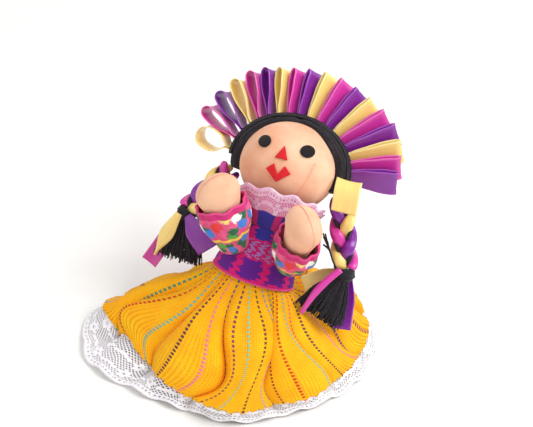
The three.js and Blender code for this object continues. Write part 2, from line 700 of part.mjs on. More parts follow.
/** A place on the band's outer face, at an angle from the top towards the doll's left. */
function bandPlace(angle, lift) {
  const [width, , height] = hairSize.map((size) => size / 2 + bandTop + lift);
  return at(Math.sin(angle) * width, HAIRLINE + BAND_WIDTH / 2, Math.cos(angle) * height);
}

// Ribbon loops: open and edge-on at the doll's right, slanted and flat towards its left
for (let i = 0; i < LOOP_COUNT; i++) {
  const share = i / (LOOP_COUNT - 1);
  const angle = (share ** LOOP_CROWDING - 0.5) * LOOP_SPAN;
  const closing = THREE.MathUtils.smoothstep(share, LOOP_SLANT_START_SHARE, LOOP_SLANT_END_SHARE);
  const slant = THREE.MathUtils.lerp(LOOP_OPEN_SLANT, LOOP_CLOSED_SLANT, closing);
  const fullness = Math.exp(-(((share - LONGEST_LOOP_SHARE) / LONG_LOOP_SHARE) ** 2));
  const length = i === 0 ? FIRST_LOOP_LENGTH : LOOP_LENGTH + LOOP_EXTRA_LENGTH * fullness;
  const width = THREE.MathUtils.lerp(LOOP_OPEN_WIDTH, LOOP_CLOSED_WIDTH, closing);
  const lean = LOOP_LEAN * Math.exp(-(((share - LEANING_LOOP_SHARE) / LEANING_SPREAD_SHARE) ** 2));
  const out = at(Math.sin(angle + lean), 0, Math.cos(angle + lean));
  const spine = at(0, 1, 0).applyAxisAngle(out, -slant);
  const thick = spine.clone().cross(out);
  const pinch = RIBBON_THICKNESS + CLEARANCE;
  const lowEdge = (RIBBON_WIDTH / 2) * Math.sin(slant) + pinch + RIBBON_THICKNESS / 2;
  const foot = bandPlace(angle, CLEARANCE + lowEdge * Math.sin(lean));
  const outline = LOOP_BEND.map(([aside, rise]) => {
    const bulge = i === 0 && aside > 0 ? FIRST_LOOP_BULGE : 1;
    return [(aside * bulge * width) / 2, rise * length];
  });
  outline.unshift([-pinch, 0], [-pinch, LOOP_PINCH_RISE * length]);
  outline.push([pinch, LOOP_PINCH_RISE * length], [pinch, 0]);
  const points = outline.map(([aside, rise]) => {
    return foot.clone().addScaledVector(thick, aside).addScaledVector(out, rise);
  });
  const loop = ribbon(new THREE.CatmullRomCurve3(points), spine, () => RIBBON_WIDTH, LOOP_STEPS);
  const number = String(i + 1).padStart(2, "0");
  const colour = RIBBON_ORDER[i % RIBBON_ORDER.length];
  addPiece(head, `headdress_loop_${number}`, loop, colour, SATIN_ROUGHNESS);
}

// Ear flap: the last ribbon end, turned forwards off the band and hanging over the left ear
const flapTop = bandPlace(BAND_SPAN / 2, CLEARANCE + RIBBON_THICKNESS / 2).setY(HAIRLINE - CLEARANCE);
const flapPath = new THREE.CatmullRomCurve3([
  flapTop,
  flapTop.clone().add(at(FLAP_FLARE / 4, -FLAP_FORWARD / 2, FLAP_RISE)),
  flapTop.clone().add(at(FLAP_FLARE / 2, -FLAP_FORWARD, -FLAP_LENGTH / 4)),
  flapTop.clone().add(at(FLAP_FLARE, -FLAP_FORWARD, -FLAP_LENGTH)),
]);
const flap = ribbon(flapPath, at(1, 0, 0), () => RIBBON_WIDTH, TAIL_STEPS);
addPiece(head, "ear_flap", flap, "gold", SATIN_ROUGHNESS);

// Plaits: three interlaced strands from the hair's lower edge to a tie, then a tassel and ribbon tails
const hairEdge = (hairSize[0] / 2) * Math.sqrt(1 - (NAPE_LEVEL / (hairSize[2] / 2)) ** 2);
const headEdge = (HEAD_WIDTH / 2) * Math.sqrt(1 - (NAPE_LEVEL / (HEAD_HEIGHT / 2)) ** 2);
const plaitHalf = STRAND_SWING + STRAND_RADIUS;
const plaitRoot = Math.max(headEdge + CLEARANCE + plaitHalf, hairEdge);

/** One strand of a plait along -Z, a third of a turn after the one before, cut level at both ends. */
function strandShape(order, side) {
  const length = PLAIT_LENGTH[side];
  const spare = 2 * STRAND_RADIUS;
  const points = spread(-spare, length + spare, STRAND_STEPS).map((depth) => {
    const turn = 2 * Math.PI * ((PLAIT_TURNS * depth) / length + order / RIBBON_ORDER.length);
    return at(SIDES[side] * STRAND_SWING * Math.sin(turn), STRAND_DEPTH * Math.sin(2 * turn), -depth);
  });
  const section = new THREE.EllipseCurve(0, 0, STRAND_RADIUS, STRAND_RADIUS).getPoints(STRAND_SIDES);
  const shape = new THREE.Shape(section.slice(0, -1));
  const extrudePath = new THREE.CatmullRomCurve3(points);
  const strand = new THREE.ExtrudeGeometry(shape, { steps: STRAND_STEPS, extrudePath });
  return common(strand, box(at(-plaitHalf, -plaitHalf, -length), at(plaitHalf, plaitHalf, 0)));
}

/** A thread tie: a short wrap with a level top and a rounded end that the tassel fits round. */
function tieShape() {
  const outline = new THREE.Path().absarc(0, 0, TIE_RADIUS, -Math.PI / 2, 0).getPoints(RING_STEPS);
  outline[0].x = 0;
  outline.push(new THREE.Vector2(TIE_RADIUS, TIE_WRAP), new THREE.Vector2(0, TIE_WRAP));
  return new THREE.LatheGeometry(outline, LIMB_SIDES).rotateX(Math.PI / 2);
}

/** A yarn tassel along -Z that fans out flat from the tie's rounded end. */
function tasselShape() {
  const rows = spread(0, 1, TASSEL_ROWS).map((share) => {
    const fan = THREE.MathUtils.smoothstep(share, TASSEL_FAN_FROM, TASSEL_FAN_TO);
    const width = THREE.MathUtils.lerp(TIE_RADIUS, TASSEL_WIDTH / 2, fan);
    const depth = THREE.MathUtils.lerp(TIE_RADIUS - STRAND_RADIUS / 2, TASSEL_THICKNESS / 2, fan);
    const ring = new THREE.EllipseCurve(0, 0, width, depth).getPoints(LIMB_SIDES).slice(0, -1);
    const level = -THREE.MathUtils.lerp(TIE_RADIUS / 2, TASSEL_LENGTH, share);
    return ring.map((point) => at(point.x, point.y, level));
  });
  return cut(loft(rows.reverse()), ball(at(0, 0, 0), TIE_RADIUS + 2 * CLEARANCE));
}

/** A ribbon tail that leaves the tie's front or back and spreads to its full width. */
function tailShape(tail, hand) {
  const away = TIE_RADIUS * Math.cos(TAIL_ASIDE) + CLEARANCE + RIBBON_THICKNESS;
  const out = at(hand * Math.sin(tail.lean), 0, -Math.cos(tail.lean));
  const aside = hand * Math.sign(tail.lean) * TIE_RADIUS * Math.sin(TAIL_ASIDE);
  const start = at(aside, tail.face * away, 0);
  const points = spread(0, 1, RING_STEPS).map((share) => {
    const sway = tail.face * Math.sin(Math.PI * share);
    return start.clone().addScaledVector(out, share * tail.length).add(at(0, sway, 0));
  });
  const across = at(out.z, 0, -out.x);
  const width = (share) => THREE.MathUtils.lerp(TAIL_PINCH, TAIL_WIDTH, Math.min(1, TAIL_SPREAD * share));
  return ribbon(new THREE.CatmullRomCurve3(points), across, width, TAIL_STEPS);
}
for (const [side, sign] of Object.entries(SIDES)) {
  const plait = new THREE.Group();
  plait.name = `${side}_plait_swing`;
  plait.position.set(sign * plaitRoot, PLAIT_ROOT_DEPTH, NAPE_LEVEL - CLEARANCE + PLAIT_TUCK[side]);
  plait.rotation.y = -sign * PLAIT_SPLAY[side];
  head.add(plait);
  RIBBON_ORDER.forEach((colour, order) => {
    addPiece(plait, `${side}_plait_${colour}_strand`, strandShape(order, side), colour, SATIN_ROUGHNESS);
  });
  const tieLevel = -PLAIT_LENGTH[side] - CLEARANCE - TIE_WRAP;
  addPiece(plait, `${side}_plait_tie`, tieShape().translate(0, 0, tieLevel), "yarn");
  const end = new THREE.Group();
  end.position.z = tieLevel;
  end.rotation.set(TASSEL_FALL[side], sign * TASSEL_TURN[side], 0, "YXZ");
  plait.add(end);
  addPiece(end, `${side}_tassel`, tasselShape(), "yarn");
  for (const tail of TAILS[side]) {
    addPiece(end, `${side}_${tail.colour}_tail`, tailShape(tail, sign), tail.colour, SATIN_ROUGHNESS);
  }
}

export default doll;
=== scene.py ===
"""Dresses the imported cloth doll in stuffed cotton, felt, yarn, satin ribbon, woven cloth and lace.

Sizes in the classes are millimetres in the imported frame: +Z is up, the doll faces -Y and its own left is +X.
"""

import logging
import random
from collections.abc import Callable, Sequence
from dataclasses import dataclass, field
from enum import Enum
from functools import lru_cache
from math import acos, asin, copysign, cos, exp, hypot, pi, radians, remainder, sin, sqrt

import bmesh
import bpy
from mathutils import Matrix, Quaternion, Vector


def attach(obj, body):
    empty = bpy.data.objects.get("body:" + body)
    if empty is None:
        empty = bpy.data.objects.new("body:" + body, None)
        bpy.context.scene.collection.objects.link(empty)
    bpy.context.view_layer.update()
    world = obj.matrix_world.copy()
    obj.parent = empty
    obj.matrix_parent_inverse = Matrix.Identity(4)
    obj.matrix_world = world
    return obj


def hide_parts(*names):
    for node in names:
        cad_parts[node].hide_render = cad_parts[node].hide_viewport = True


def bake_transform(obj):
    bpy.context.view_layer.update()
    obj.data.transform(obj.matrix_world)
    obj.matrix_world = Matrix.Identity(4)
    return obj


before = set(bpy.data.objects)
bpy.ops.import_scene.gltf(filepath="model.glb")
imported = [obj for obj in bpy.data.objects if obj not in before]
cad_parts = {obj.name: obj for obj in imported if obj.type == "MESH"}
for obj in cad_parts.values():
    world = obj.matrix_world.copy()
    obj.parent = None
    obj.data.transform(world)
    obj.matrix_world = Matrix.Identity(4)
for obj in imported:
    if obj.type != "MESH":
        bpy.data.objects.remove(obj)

MM = 0.001
# One unit of a UV map stands for this much flat cloth.
CHART = 400.0
WELD = 1e-6
TURN = 2 * pi
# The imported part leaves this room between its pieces.
CLEARANCE = 0.3
WEAVE = 0.9
LACE = 0.8
LACE_THREAD = 0.35
LACE_REPEAT = 14.0
RIBBON_WIDTH = 12.5
RIBBON_THICKNESS = 0.35
MIDDLE = Vector((0, 0, 0))
UP = Vector((0, 0, 1))

log = logging.getLogger("cloth_doll")
Place = Callable[[float, float], Vector]
Spot = float | Vector
Colour = tuple[float, float, float, float]
Mesh = bmesh.types.BMesh
Piece = bpy.types.Object
Material = bpy.types.Material
Node = bpy.types.Node
Socket = bpy.types.NodeSocket
Tree = bpy.types.NodeTree


class Side(Enum):
    """The doll's own sides, with the sign of X on each."""

    LEFT = 1
    RIGHT = -1

    @property
    def label(self) -> str:
        """The side's word in the names of nodes and bodies."""
        return self.name.lower()


class Ribbon(Enum):
    """The three satin ribbons, in the order that the headdress repeats them."""

    GOLD = "gold"
    MAGENTA = "magenta"
    PURPLE = "purple"

    @property
    def slot(self) -> str:
        """The material slot that the ribbon takes its finish from."""
        return f"satin_{self.value}"


def lerp(first: float, last: float, share: float) -> float:
    """A value a share of the way from first to last."""
    return first + (last - first) * share


def smoothstep(value: float, low: float, high: float) -> float:
    """A soft step from 0 at low to 1 at high."""
    share = min(1.0, max(0.0, (value - low) / (high - low)))
    return share * share * (3 - 2 * share)


def rounded(share: float) -> float:
    """A quarter circle's rise from 0 to 1, for rolled edges."""
    share = min(1.0, max(0.0, share))
    return sqrt(1 - (1 - share) ** 2)


def bell(value: float, width: float) -> float:
    """A soft rise to 1 where the value is 0, and back to 0 a few widths away."""
    return exp(-((value / width) ** 2))


def around(radius: float, angle: float, height: float = 0.0) -> Vector:
    """A place on a circle about Z."""
    return Vector((radius * cos(angle), radius * sin(angle), height))


def eased(first: Spot, start: Spot, last: Spot, finish: Spot, share: float) -> Spot:
    """A smooth run between two points or numbers.

    Args:
        first, last: Where it starts and ends.
        start, finish: Its slopes there.
        share: How far along it is, from 0 to 1.

    Returns:
        The point or number at the share.
    """
    square, cube = share**2, share**3
    return (
        first * (2 * cube - 3 * square + 1)
        + start * (cube - 2 * square + share)
        + last * (3 * square - 2 * cube)
        + finish * (cube - square)
    )


def line_length(points: Sequence[Vector]) -> float:
    """The length of a line through points."""
    return sum((b - a).length for a, b in zip(points, points[1:]))


def colour(red: int, green: int, blue: int) -> Colour:
    """A screen colour as the linear colour that shaders take.

    Args:
        red, green, blue: Levels from 0 to 255.

    Returns:
        The linear colour with full alpha.
    """
    levels = [level / 255 for level in (red, green, blue)]
    linear = [c / 12.92 if c <= 0.04045 else ((c + 0.055) / 1.055) ** 2.4 for c in levels]
    return (*linear, 1.0)


class Route:
    """A smooth line through points, eased by their spacing."""

    def __init__(self, points: Sequence[Vector], closed: bool = False) -> None:
        """Keeps the points that the line passes through."""
        self.points = [Vector(point) for point in points]
        self.closed = closed

    def at(self, share: float) -> Vector:
        """The line's point at a share of the way.

        Args:
            share: From 0 at the first point to 1 at the last, or back at the first on a closed line.

        Returns:
            The point.
        """
        count = len(self.points)
        spans = count if self.closed else count - 1
        along = min(max(share, 0.0), 1.0) * spans
        index = min(int(along), spans - 1)
        p0, p1, p2, p3 = (self._corner(index + step) for step in (-1, 0, 1, 2))
        d0, d1, d2 = (max((b - a).length, WELD) ** 0.5 for a, b in ((p0, p1), (p1, p2), (p2, p3)))
        start = ((p1 - p0) / d0 - (p2 - p0) / (d0 + d1) + (p2 - p1) / d1) * d1
        finish = ((p2 - p1) / d1 - (p3 - p1) / (d1 + d2) + (p3 - p2) / d2) * d1
        return eased(p1, start, p2, finish, along - index)

    def _corner(self, index: int) -> Vector:
        """A point by its number, carried on past the ends of an open line.

        Args:
            index: Its number.

        Returns:
            The point.
        """
        count = len(self.points)
        if self.closed:
            return self.points[index % count]
        if index < 0:
            return self.points[0] * 2 - self.points[1]
        if index >= count:
            return self.points[-1] * 2 - self.points[-2]
        return self.points[index]

    def sampled(self, steps: int) -> list[Vector]:
        """The line's points at even shares."""
        return [self.at(i / steps) for i in range(steps + 1)]


def laid_sheet(columns: int, rows: int, place: Place, chart: Place, closed: bool = False) -> Mesh:
    """A grid of cloth laid where a rule says.

    Args:
        columns: Faces across.
        rows: Faces along.
        place: The point in millimetres at shares across and along.
        chart: The flat place in millimetres at the same shares, for patterns.
        closed: Whether the first and last columns are sewn together.

    Returns:
        The cloth's mesh.
    """
    mesh = bmesh.new()
    flat = mesh.loops.layers.uv.new("UVMap")
    bmesh.ops.create_grid(mesh, x_segments=columns, y_segments=rows, size=0.5, calc_uvs=True)
    for face in mesh.faces:
        for loop in face.loops:
            spot = chart(*loop[flat].uv)
            loop[flat].uv = (spot.x / CHART, spot.y / CHART)
    for vert in mesh.verts:
        vert.co = place(vert.co.x + 0.5, vert.co.y + 0.5) * MM
    if closed:
        bmesh.ops.remove_doubles(mesh, verts=mesh.verts, dist=WELD)
    return mesh


def outward(mesh: Mesh) -> Mesh:
    """Turns a closed mesh's faces outwards."""
    bmesh.ops.recalc_face_normals(mesh, faces=mesh.faces)
    return mesh


def flat_chart(width: float, length: float) -> Place:
    """A chart of a plain rectangle in millimetres."""
    return lambda across, along: Vector((across * width, along * length, 0))


def faced(points: Sequence[Vector], across: Sequence[Vector], along: float) -> tuple[Vector, Vector, Vector]:
    """Where a ribbon's line is and how it lies at a share of the way.

    Args:
        points: The line at even steps.
        across: The direction of its width at each step.
        along: The share, at one of the steps.

    Returns:
        The point, the direction of the width there and the direction that its face looks in.
    """
    last = len(points) - 1
    index = round(along * last)
    before, after = points[max(index - 1, 0)], points[min(index + 1, last)]
    return points[index], across[index], (after - before).cross(across[index]).normalized()


def drawn_tube(
    points: Sequence[Vector],
    across: Sequence[Vector],
    size: Callable[[float], tuple[float, float]],
    sides: int = 20,
    crease: float = 0.07,
) -> Mesh:
    """A soft tube along a line, with closed ends.

    Args:
        points: The middle of the tube at even steps.
        across: The direction of its width at each step.
        size: Half its width and half its thickness at a share of the way.
        sides: How many faces go round it.
        crease: How much its thickness varies round it.

    Returns:
        The tube's mesh.
    """

    def place(over: float, along: float) -> Vector:
        """The tube's surface at shares round and along.

        Args:
            over: The share round.
            along: The share along.

        Returns:
            The point.
        """
        spot, side, face = faced(points, across, along)
        angle = TURN * over
        half, thick = size(along)
        creased = 1 + crease * cos(5 * angle + 6 * along)
        return spot + side * (half * cos(angle)) + face * (thick * sin(angle) * creased)

    chart = flat_chart(RIBBON_WIDTH, line_length(points))
    mesh = laid_sheet(sides, len(points) - 1, place, chart, closed=True)
    bmesh.ops.holes_fill(mesh, edges=[edge for edge in mesh.edges if edge.is_boundary], sides=0)
    return outward(mesh)


def ribbon_sheet(
    points: Sequence[Vector],
    across: Sequence[Vector],
    width: Callable[[float], float],
    bow: float,
    columns: int = 10,
) -> Mesh:
    """A ribbon along a line.

    Args:
        points: The ribbon's middle at even steps.
        across: The direction of its width at each step.
        width: Its width at a share of the way.
        bow: How far its middle stands off its edges.
        columns: Faces across.

    Returns:
        The ribbon's mesh.
    """

    def place(over: float, along: float) -> Vector:
        """The ribbon's surface at shares across and along."""
        spot, side, face = faced(points, across, along)
        return spot + side * ((over - 0.5) * width(along)) + face * (bow * (1 - (2 * over - 1) ** 2))

    return laid_sheet(columns, len(points) - 1, place, flat_chart(RIBBON_WIDTH, line_length(points)))


def placed(name: str, data: bpy.types.Mesh) -> Piece:
    """A smooth object at the origin.

    Args:
        name: Its name.
        data: Its mesh.

    Returns:
        The object.
    """
    data.shade_smooth()
    piece = bpy.data.objects.new(name, data)
    bpy.context.scene.collection.objects.link(piece)
    return piece


def piece_from(name: str, mesh: Mesh, thickness: float = 0.0, offset: float = 0.0) -> Piece:
    """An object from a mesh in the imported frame.

    Args:
        name: The object's name.
        mesh: Its mesh, in metres.
        thickness: Its cloth's thickness in millimetres, or 0 for a closed mesh.
        offset: Which side of the mesh the cloth lies on, from -1 to 1.

    Returns:
        The object.
    """
    data = bpy.data.meshes.new(name)
    mesh.to_mesh(data)
    mesh.free()
    piece = placed(name, data)
    if thickness:
        wall = piece.modifiers.new("cloth", "SOLIDIFY")
        wall.thickness = thickness * MM
        wall.offset = offset
    return piece


def thread_piece(name: str, lines: Sequence[Sequence[Vector]], radius: float, looped: bool = False) -> Piece:
    """Round threads along lines, as one object.

    Args:
        name: The object's name.
        lines: The middle of each thread, in millimetres.
        radius: The threads' radius in millimetres.
        looped: Whether each thread joins its own start.

    Returns:
        The object.
    """
    drawing = bpy.data.curves.new(name, "CURVE")
    drawing.dimensions = "3D"
    drawing.bevel_depth = radius * MM
    drawing.bevel_resolution = 1
    drawing.use_fill_caps = True
    for line in lines:
        spline = drawing.splines.new("POLY")
        spline.use_cyclic_u = looped
        spline.points.add(len(line) - 1)
        for spot, point in zip(spline.points, line):
            spot.co = (*(point * MM), 1.0)
    carrier = bpy.data.objects.new(f"{name}_line", drawing)
    bpy.context.scene.collection.objects.link(carrier)
    graph = bpy.context.evaluated_depsgraph_get()
    data = bpy.data.meshes.new_from_object(carrier.evaluated_get(graph))
    bpy.data.objects.remove(carrier)
    bpy.data.curves.remove(drawing)
    data.name = name
    return placed(name, data)


def dressed(piece: Piece, material: Material, nodes: Sequence[str] = ()) -> Piece:
    """Gives a piece its finish, and hides and logs the nodes that it stands for.

    Args:
        piece: The piece.
        material: Its finish.
        nodes: The nodes that it stands for.

    Returns:
        The piece.
    """
    if nodes:
        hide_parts(*nodes)
    piece.data.materials.clear()
    piece.data.materials.append(material)
    log.info("%s stands for %s", piece.name, ", ".join(nodes) or "nothing of the frame")
    return piece


def carried(piece: Piece, body: str, material: Material, nodes: Sequence[str] = ()) -> Piece:
    """Rides a piece on a body and dresses it."""
    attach(piece, body)
    return dressed(piece, material, nodes)


class Value:
    """A number or a colour that a node puts out, with the usual arithmetic."""

    def __init__(self, graph: "Graph", socket: Socket) -> None:
        """Keeps the socket that gives the value."""
        self.graph = graph
        self.socket = socket

    def __add__(self, other: "Number") -> "Value":
        """This value plus another."""
        return self.graph.math("ADD", self, other)

    def __sub__(self, other: "Number") -> "Value":
        """This value less another."""
        return self.graph.math("SUBTRACT", self, other)

    def __rsub__(self, other: "Number") -> "Value":
        """Another value less this one."""
        return self.graph.math("SUBTRACT", other, self)

    def __mul__(self, other: "Number") -> "Value":
        """This value times another."""
        return self.graph.math("MULTIPLY", self, other)

    def __truediv__(self, other: "Number") -> "Value":
        """This value over another."""
        return self.graph.math("DIVIDE", self, other)

    def __rtruediv__(self, other: "Number") -> "Value":
        """Another value over this one."""
        return self.graph.math("DIVIDE", other, self)

    def __abs__(self) -> "Value":
        """This value without its sign."""
        return self.graph.math("ABSOLUTE", self)


Number = Value | float
Tint = Value | Colour


class Graph:
    """A node tree with short ways to add and join nodes."""

    def __init__(self, tree: Tree) -> None:
        """Keeps the tree that the nodes go into."""
        self.tree = tree

    def add(self, kind: str, sockets: dict[str | int, object] | None = None, **settings: object) -> Node:
        """A new node.

        Args:
            kind: The node's type.
            sockets: What goes into its inputs, by name or number.
            settings: Its own settings.

        Returns:
            The node.
        """
        node = self.tree.nodes.new(kind)
        for name, value in settings.items():
            setattr(node, name, value)
        self.fill(node, sockets or {})
        return node

    def fill(self, node: Node, sockets: dict[str | int, object]) -> None:
        """Joins a node's inputs to values, or sets their own numbers and colours.

        Args:
            node: The node.
            sockets: What goes into its inputs, by name or number.
        """
        for name, value in sockets.items():
            if isinstance(value, Value):
                self.tree.links.new(value.socket, node.inputs[name])
            else:
                node.inputs[name].default_value = value

    def made(self, node: Node, output: str | int = 0) -> Value:
        """What a node puts out."""
        return Value(self, node.outputs[output])

    def math(self, operation: str, *values: Number) -> Value:
        """The result of one arithmetic step."""
        return self.made(self.add("ShaderNodeMath", dict(enumerate(values)), operation=operation))

    def fract(self, value: Value) -> Value:
        """A value's part after the point."""
        return self.math("FRACT", value)

    def floor(self, value: Value) -> Value:
        """The whole number under a value."""
        return self.math("FLOOR", value)

    def mix(self, share: Number, first: Tint, second: Tint, blend: str = "MIX") -> Value:
        """Two colours mixed by a share."""
        sockets = {0: share, 6: first, 7: second}
        return self.made(self.add("ShaderNodeMix", sockets, data_type="RGBA", blend_type=blend), 2)

    def step(self, value: Value, edge: float, soft: float) -> Value:
        """A soft rise from 0 to 1 about an edge."""
        sockets = {"Value": value, "From Min": edge - soft, "From Max": edge + soft}
        return self.made(self.add("ShaderNodeMapRange", sockets, interpolation_type="SMOOTHSTEP"))

    def below(self, value: Value, edge: float, soft: float) -> Value:
        """A soft fall from 1 to 0 about an edge."""
        return 1.0 - self.step(value, edge, soft)

    def band(self, value: Value, low: float, high: float, soft: float) -> Value:
        """1 between two edges and 0 outside them."""
        return self.step(value, low, soft) * self.below(value, high, soft)

    def ramp(self, value: Value, stops: Sequence[tuple[float, Colour]]) -> Value:
        """Plain colours that change at given values.

        Args:
            value: The value that picks the colour.
            stops: Each colour with the value that it starts at.

        Returns:
            The colour.
        """
        node = self.add("ShaderNodeValToRGB", {"Fac": value})
        node.color_ramp.interpolation = "CONSTANT"
        while len(node.color_ramp.elements) < len(stops):
            node.color_ramp.elements.new(1.0)
        for element, (position, tint) in zip(node.color_ramp.elements, stops):
            element.position = position
            element.color = tint
        return self.made(node, "Color")

    def listed(self, value: Value, tints: Sequence[Colour]) -> Value:
        """One of some colours, by a value from 0 to 1."""
        return self.ramp(value, [(i / len(tints), tint) for i, tint in enumerate(tints)])

    def noise(self, vector: Value, scale: Number, detail: float = 2.0) -> Value:
        """Cloudy values from 0 to 1."""
        return self.made(self.add("ShaderNodeTexNoise", {"Vector": vector, "Scale": scale, "Detail": detail}))

    def chance(self, first: Value, second: float) -> Value:
        """A fixed chance value for each pair of numbers."""
        spot = self.made(self.add("ShaderNodeCombineXYZ", {0: first, 1: second}))
        return self.made(self.add("ShaderNodeTexWhiteNoise", {"Vector": spot}, noise_dimensions="3D"))

    def split(self, vector: Value) -> tuple[Value, Value]:
        """A vector's first two numbers."""
        node = self.add("ShaderNodeSeparateXYZ", {0: vector})
        return self.made(node, 0), self.made(node, 1)

    def stretched(self, vector: Value, scale: tuple[float, float, float]) -> Value:
        """A vector scaled by its own number along each axis."""
        return self.made(self.add("ShaderNodeVectorMath", {0: vector, 1: scale}, operation="MULTIPLY"))

    def group(self, tree: Tree, **values: Number) -> dict[str, Value]:
        """What a shared effect puts out for its own values, by name.

        Args:
            tree: The effect's group.
            values: What goes into its inputs, by name.

        Returns:
            Its outputs by name.
        """
        node = self.add("ShaderNodeGroup", node_tree=tree)
        self.fill(node, values)
        return {socket.name: Value(self, socket) for socket in node.outputs}


def effect(name: str, inputs: dict[str, str], outputs: Sequence[str]) -> tuple[Graph, dict[str, Value], Node]:
    """An empty shared effect.

    Args:
        name: The group's name.
        inputs: Each input's kind, Vector or Float, by name.
        outputs: The names of the numbers that it puts out.

    Returns:
        The group's graph, its inputs by name and its output node.
    """
    tree = bpy.data.node_groups.new(name, "ShaderNodeTree")
    for socket, kind in inputs.items():
        tree.interface.new_socket(socket, in_out="INPUT", socket_type=f"NodeSocket{kind}")
    for socket in outputs:
        tree.interface.new_socket(socket, in_out="OUTPUT", socket_type="NodeSocketFloat")
    graph = Graph(tree)
    given = graph.add("NodeGroupInput")
    return graph, {socket: graph.made(given, socket) for socket in inputs}, graph.add("NodeGroupOutput")


@lru_cache(maxsize=None)
def fibre_effect() -> Tree:
    """Loose fibres: a shade that drifts over the cloth and a fine fuzzy height.

    Returns:
        The effect's group.
    """
    graph, given, made = effect("fibre_fuzz", {"Place": "Vector", "Scale": "Float"}, ("Shade", "Height"))
    broad = graph.noise(given["Place"], given["Scale"], 3.0)
    fine = graph.noise(given["Place"], given["Scale"] * 7.0, 4.0)
    graph.fill(made, {"Shade": broad * 0.5 + 0.75, "Height": fine})
    return graph.tree


@lru_cache(maxsize=None)
def weave_effect() -> Tree:
    """Crossed threads: ribs of one pitch, broken by threads of another, with painted shade where the threads
    dip.

    Returns:
        The effect's group.
    """
    pitches = {"Warp": "Float", "Weft": "Float"}
    graph, given, made = effect("thread_weave", {"Chart": "Vector"} | pitches, ("Shade", "Height"))
    across, along = graph.split(given["Chart"])
    warp = graph.math("SINE", across * TURN / given["Warp"])
    weft = graph.math("SINE", along * TURN / given["Weft"])
    height = (warp * weft + weft) * 0.25 + 0.5
    # Shade is painted shade: darker where the threads dip, lighter on their crowns.
    graph.fill(made, {"Shade": height * 0.3 + 0.82, "Height": height})
    return graph.tree


@lru_cache(maxsize=None)
def satin_effect(selvage: float = 0.7, thread: float = 0.55) -> Tree:
    """Satin: long faint streaks of painted sheen and a thicker woven edge on each side.

    Args:
        selvage: The woven edge's width.
        thread: The pitch of the threads across the ribbon.

    Returns:
        The effect's group.
    """
    graph, given, made = effect("satin_sheen_streaks", {"Chart": "Vector"}, ("Shade", "Edge", "Height"))
    streak = graph.noise(graph.stretched(given["Chart"], (1.6, 0.12, 1.0)), 1.0, 4.0)
    across, along = graph.split(given["Chart"])
    edge = graph.step(abs(across - RIBBON_WIDTH / 2), RIBBON_WIDTH / 2 - selvage, 0.25)
    threads = graph.math("SINE", along * (TURN / thread))
    height = edge * 1.5 + (threads * 0.2 + streak * 0.5)
    # Shade is painted sheen: the streaks lighten and darken the ribbon along its length.
    graph.fill(made, {"Shade": streak * 0.36 + 0.82, "Edge": edge, "Height": height})
    return graph.tree


@lru_cache(maxsize=None)
def lace_effect(
    cord: float = 1.2,
    eyelets: int = 7,
    eyelet_level: float = 2.2,
    heading: float = 3.6,
    row: float = 8.0,
    net: float = 1.5,
) -> Tree:
    """Flowered lace: a corded edge, eyelets, a net ground and a blossom in each repeat.

    Across the chart runs the lace's length, and along it the distance in from its scalloped edge.

    Args:
        cord: The corded edge's width.
        eyelets: How many eyelets a repeat has.
        eyelet_level: How far in their middles lie.
        heading: How far in the eyelets' row ends and the flowers start.
        row: The height of a row of flowers.
        net: The net's mesh.

    Returns:
        The effect's group.
    """
    graph, given, made = effect("flower_lace", {"Chart": "Vector"}, ("Mask", "Height"))
    along, inward = graph.split(given["Chart"])
    rows = graph.math("WRAP", inward, heading + row, heading)

    def from_middle(repeat: float) -> Value:
        """The distance along the lace from the middle of a repeat."""
        return (graph.fract(along / repeat) - 0.5) * repeat

    def motif(aside: float, level: float, petals: float, wave: float, reach: float) -> tuple[Value, Value]:
        """A leaf's or a blossom's mask, and the distance from its middle.

        Args:
            aside: Its place along the repeat.
            level: Its place across the lace.
            petals: How many petals it has.
            wave: How far they stand out.
            reach: Its mean radius.

        Returns:
            The mask and the distance.
        """
        x, y = abs(from_middle(LACE_REPEAT)) - aside, rows - level
        span = graph.math("SQRT", x * x + y * y)
        edge = graph.math("COSINE", graph.math("ARCTAN2", y, x) * petals) * wave + reach
        return graph.below(span - edge, 0.0, 0.15), span

    hole_x, hole_y = from_middle(LACE_REPEAT / eyelets), inward - eyelet_level
    holed = graph.step(graph.math("SQRT", hole_x * hole_x + hole_y * hole_y), 0.62, 0.12)
    eyelet_row = holed * graph.below(inward, heading, 0.12)
    border = graph.math("MAXIMUM", graph.below(inward, cord, 0.12), eyelet_row)
    blossom, span = motif(0.0, 7.2, 5.0, 0.75, 2.4)
    leaf, _ = motif(5.2, 6.4, 2.0, 0.7, 1.3)
    slants = [graph.fract(graph.math(sign, along, inward) / net) for sign in ("ADD", "SUBTRACT")]
    ground = graph.math("MAXIMUM", *(graph.step(abs(slant - 0.5), 0.34, 0.05) for slant in slants))
    within = graph.step(span, 0.6, 0.1) * graph.step(inward, heading, 0.05)
    solid = graph.math("MAXIMUM", border, graph.math("MAXIMUM", blossom, leaf) * within)
    graph.fill(made, {"Mask": graph.math("MAXIMUM", solid, ground), "Height": solid * 0.7 + ground * 0.3})
    return graph.tree


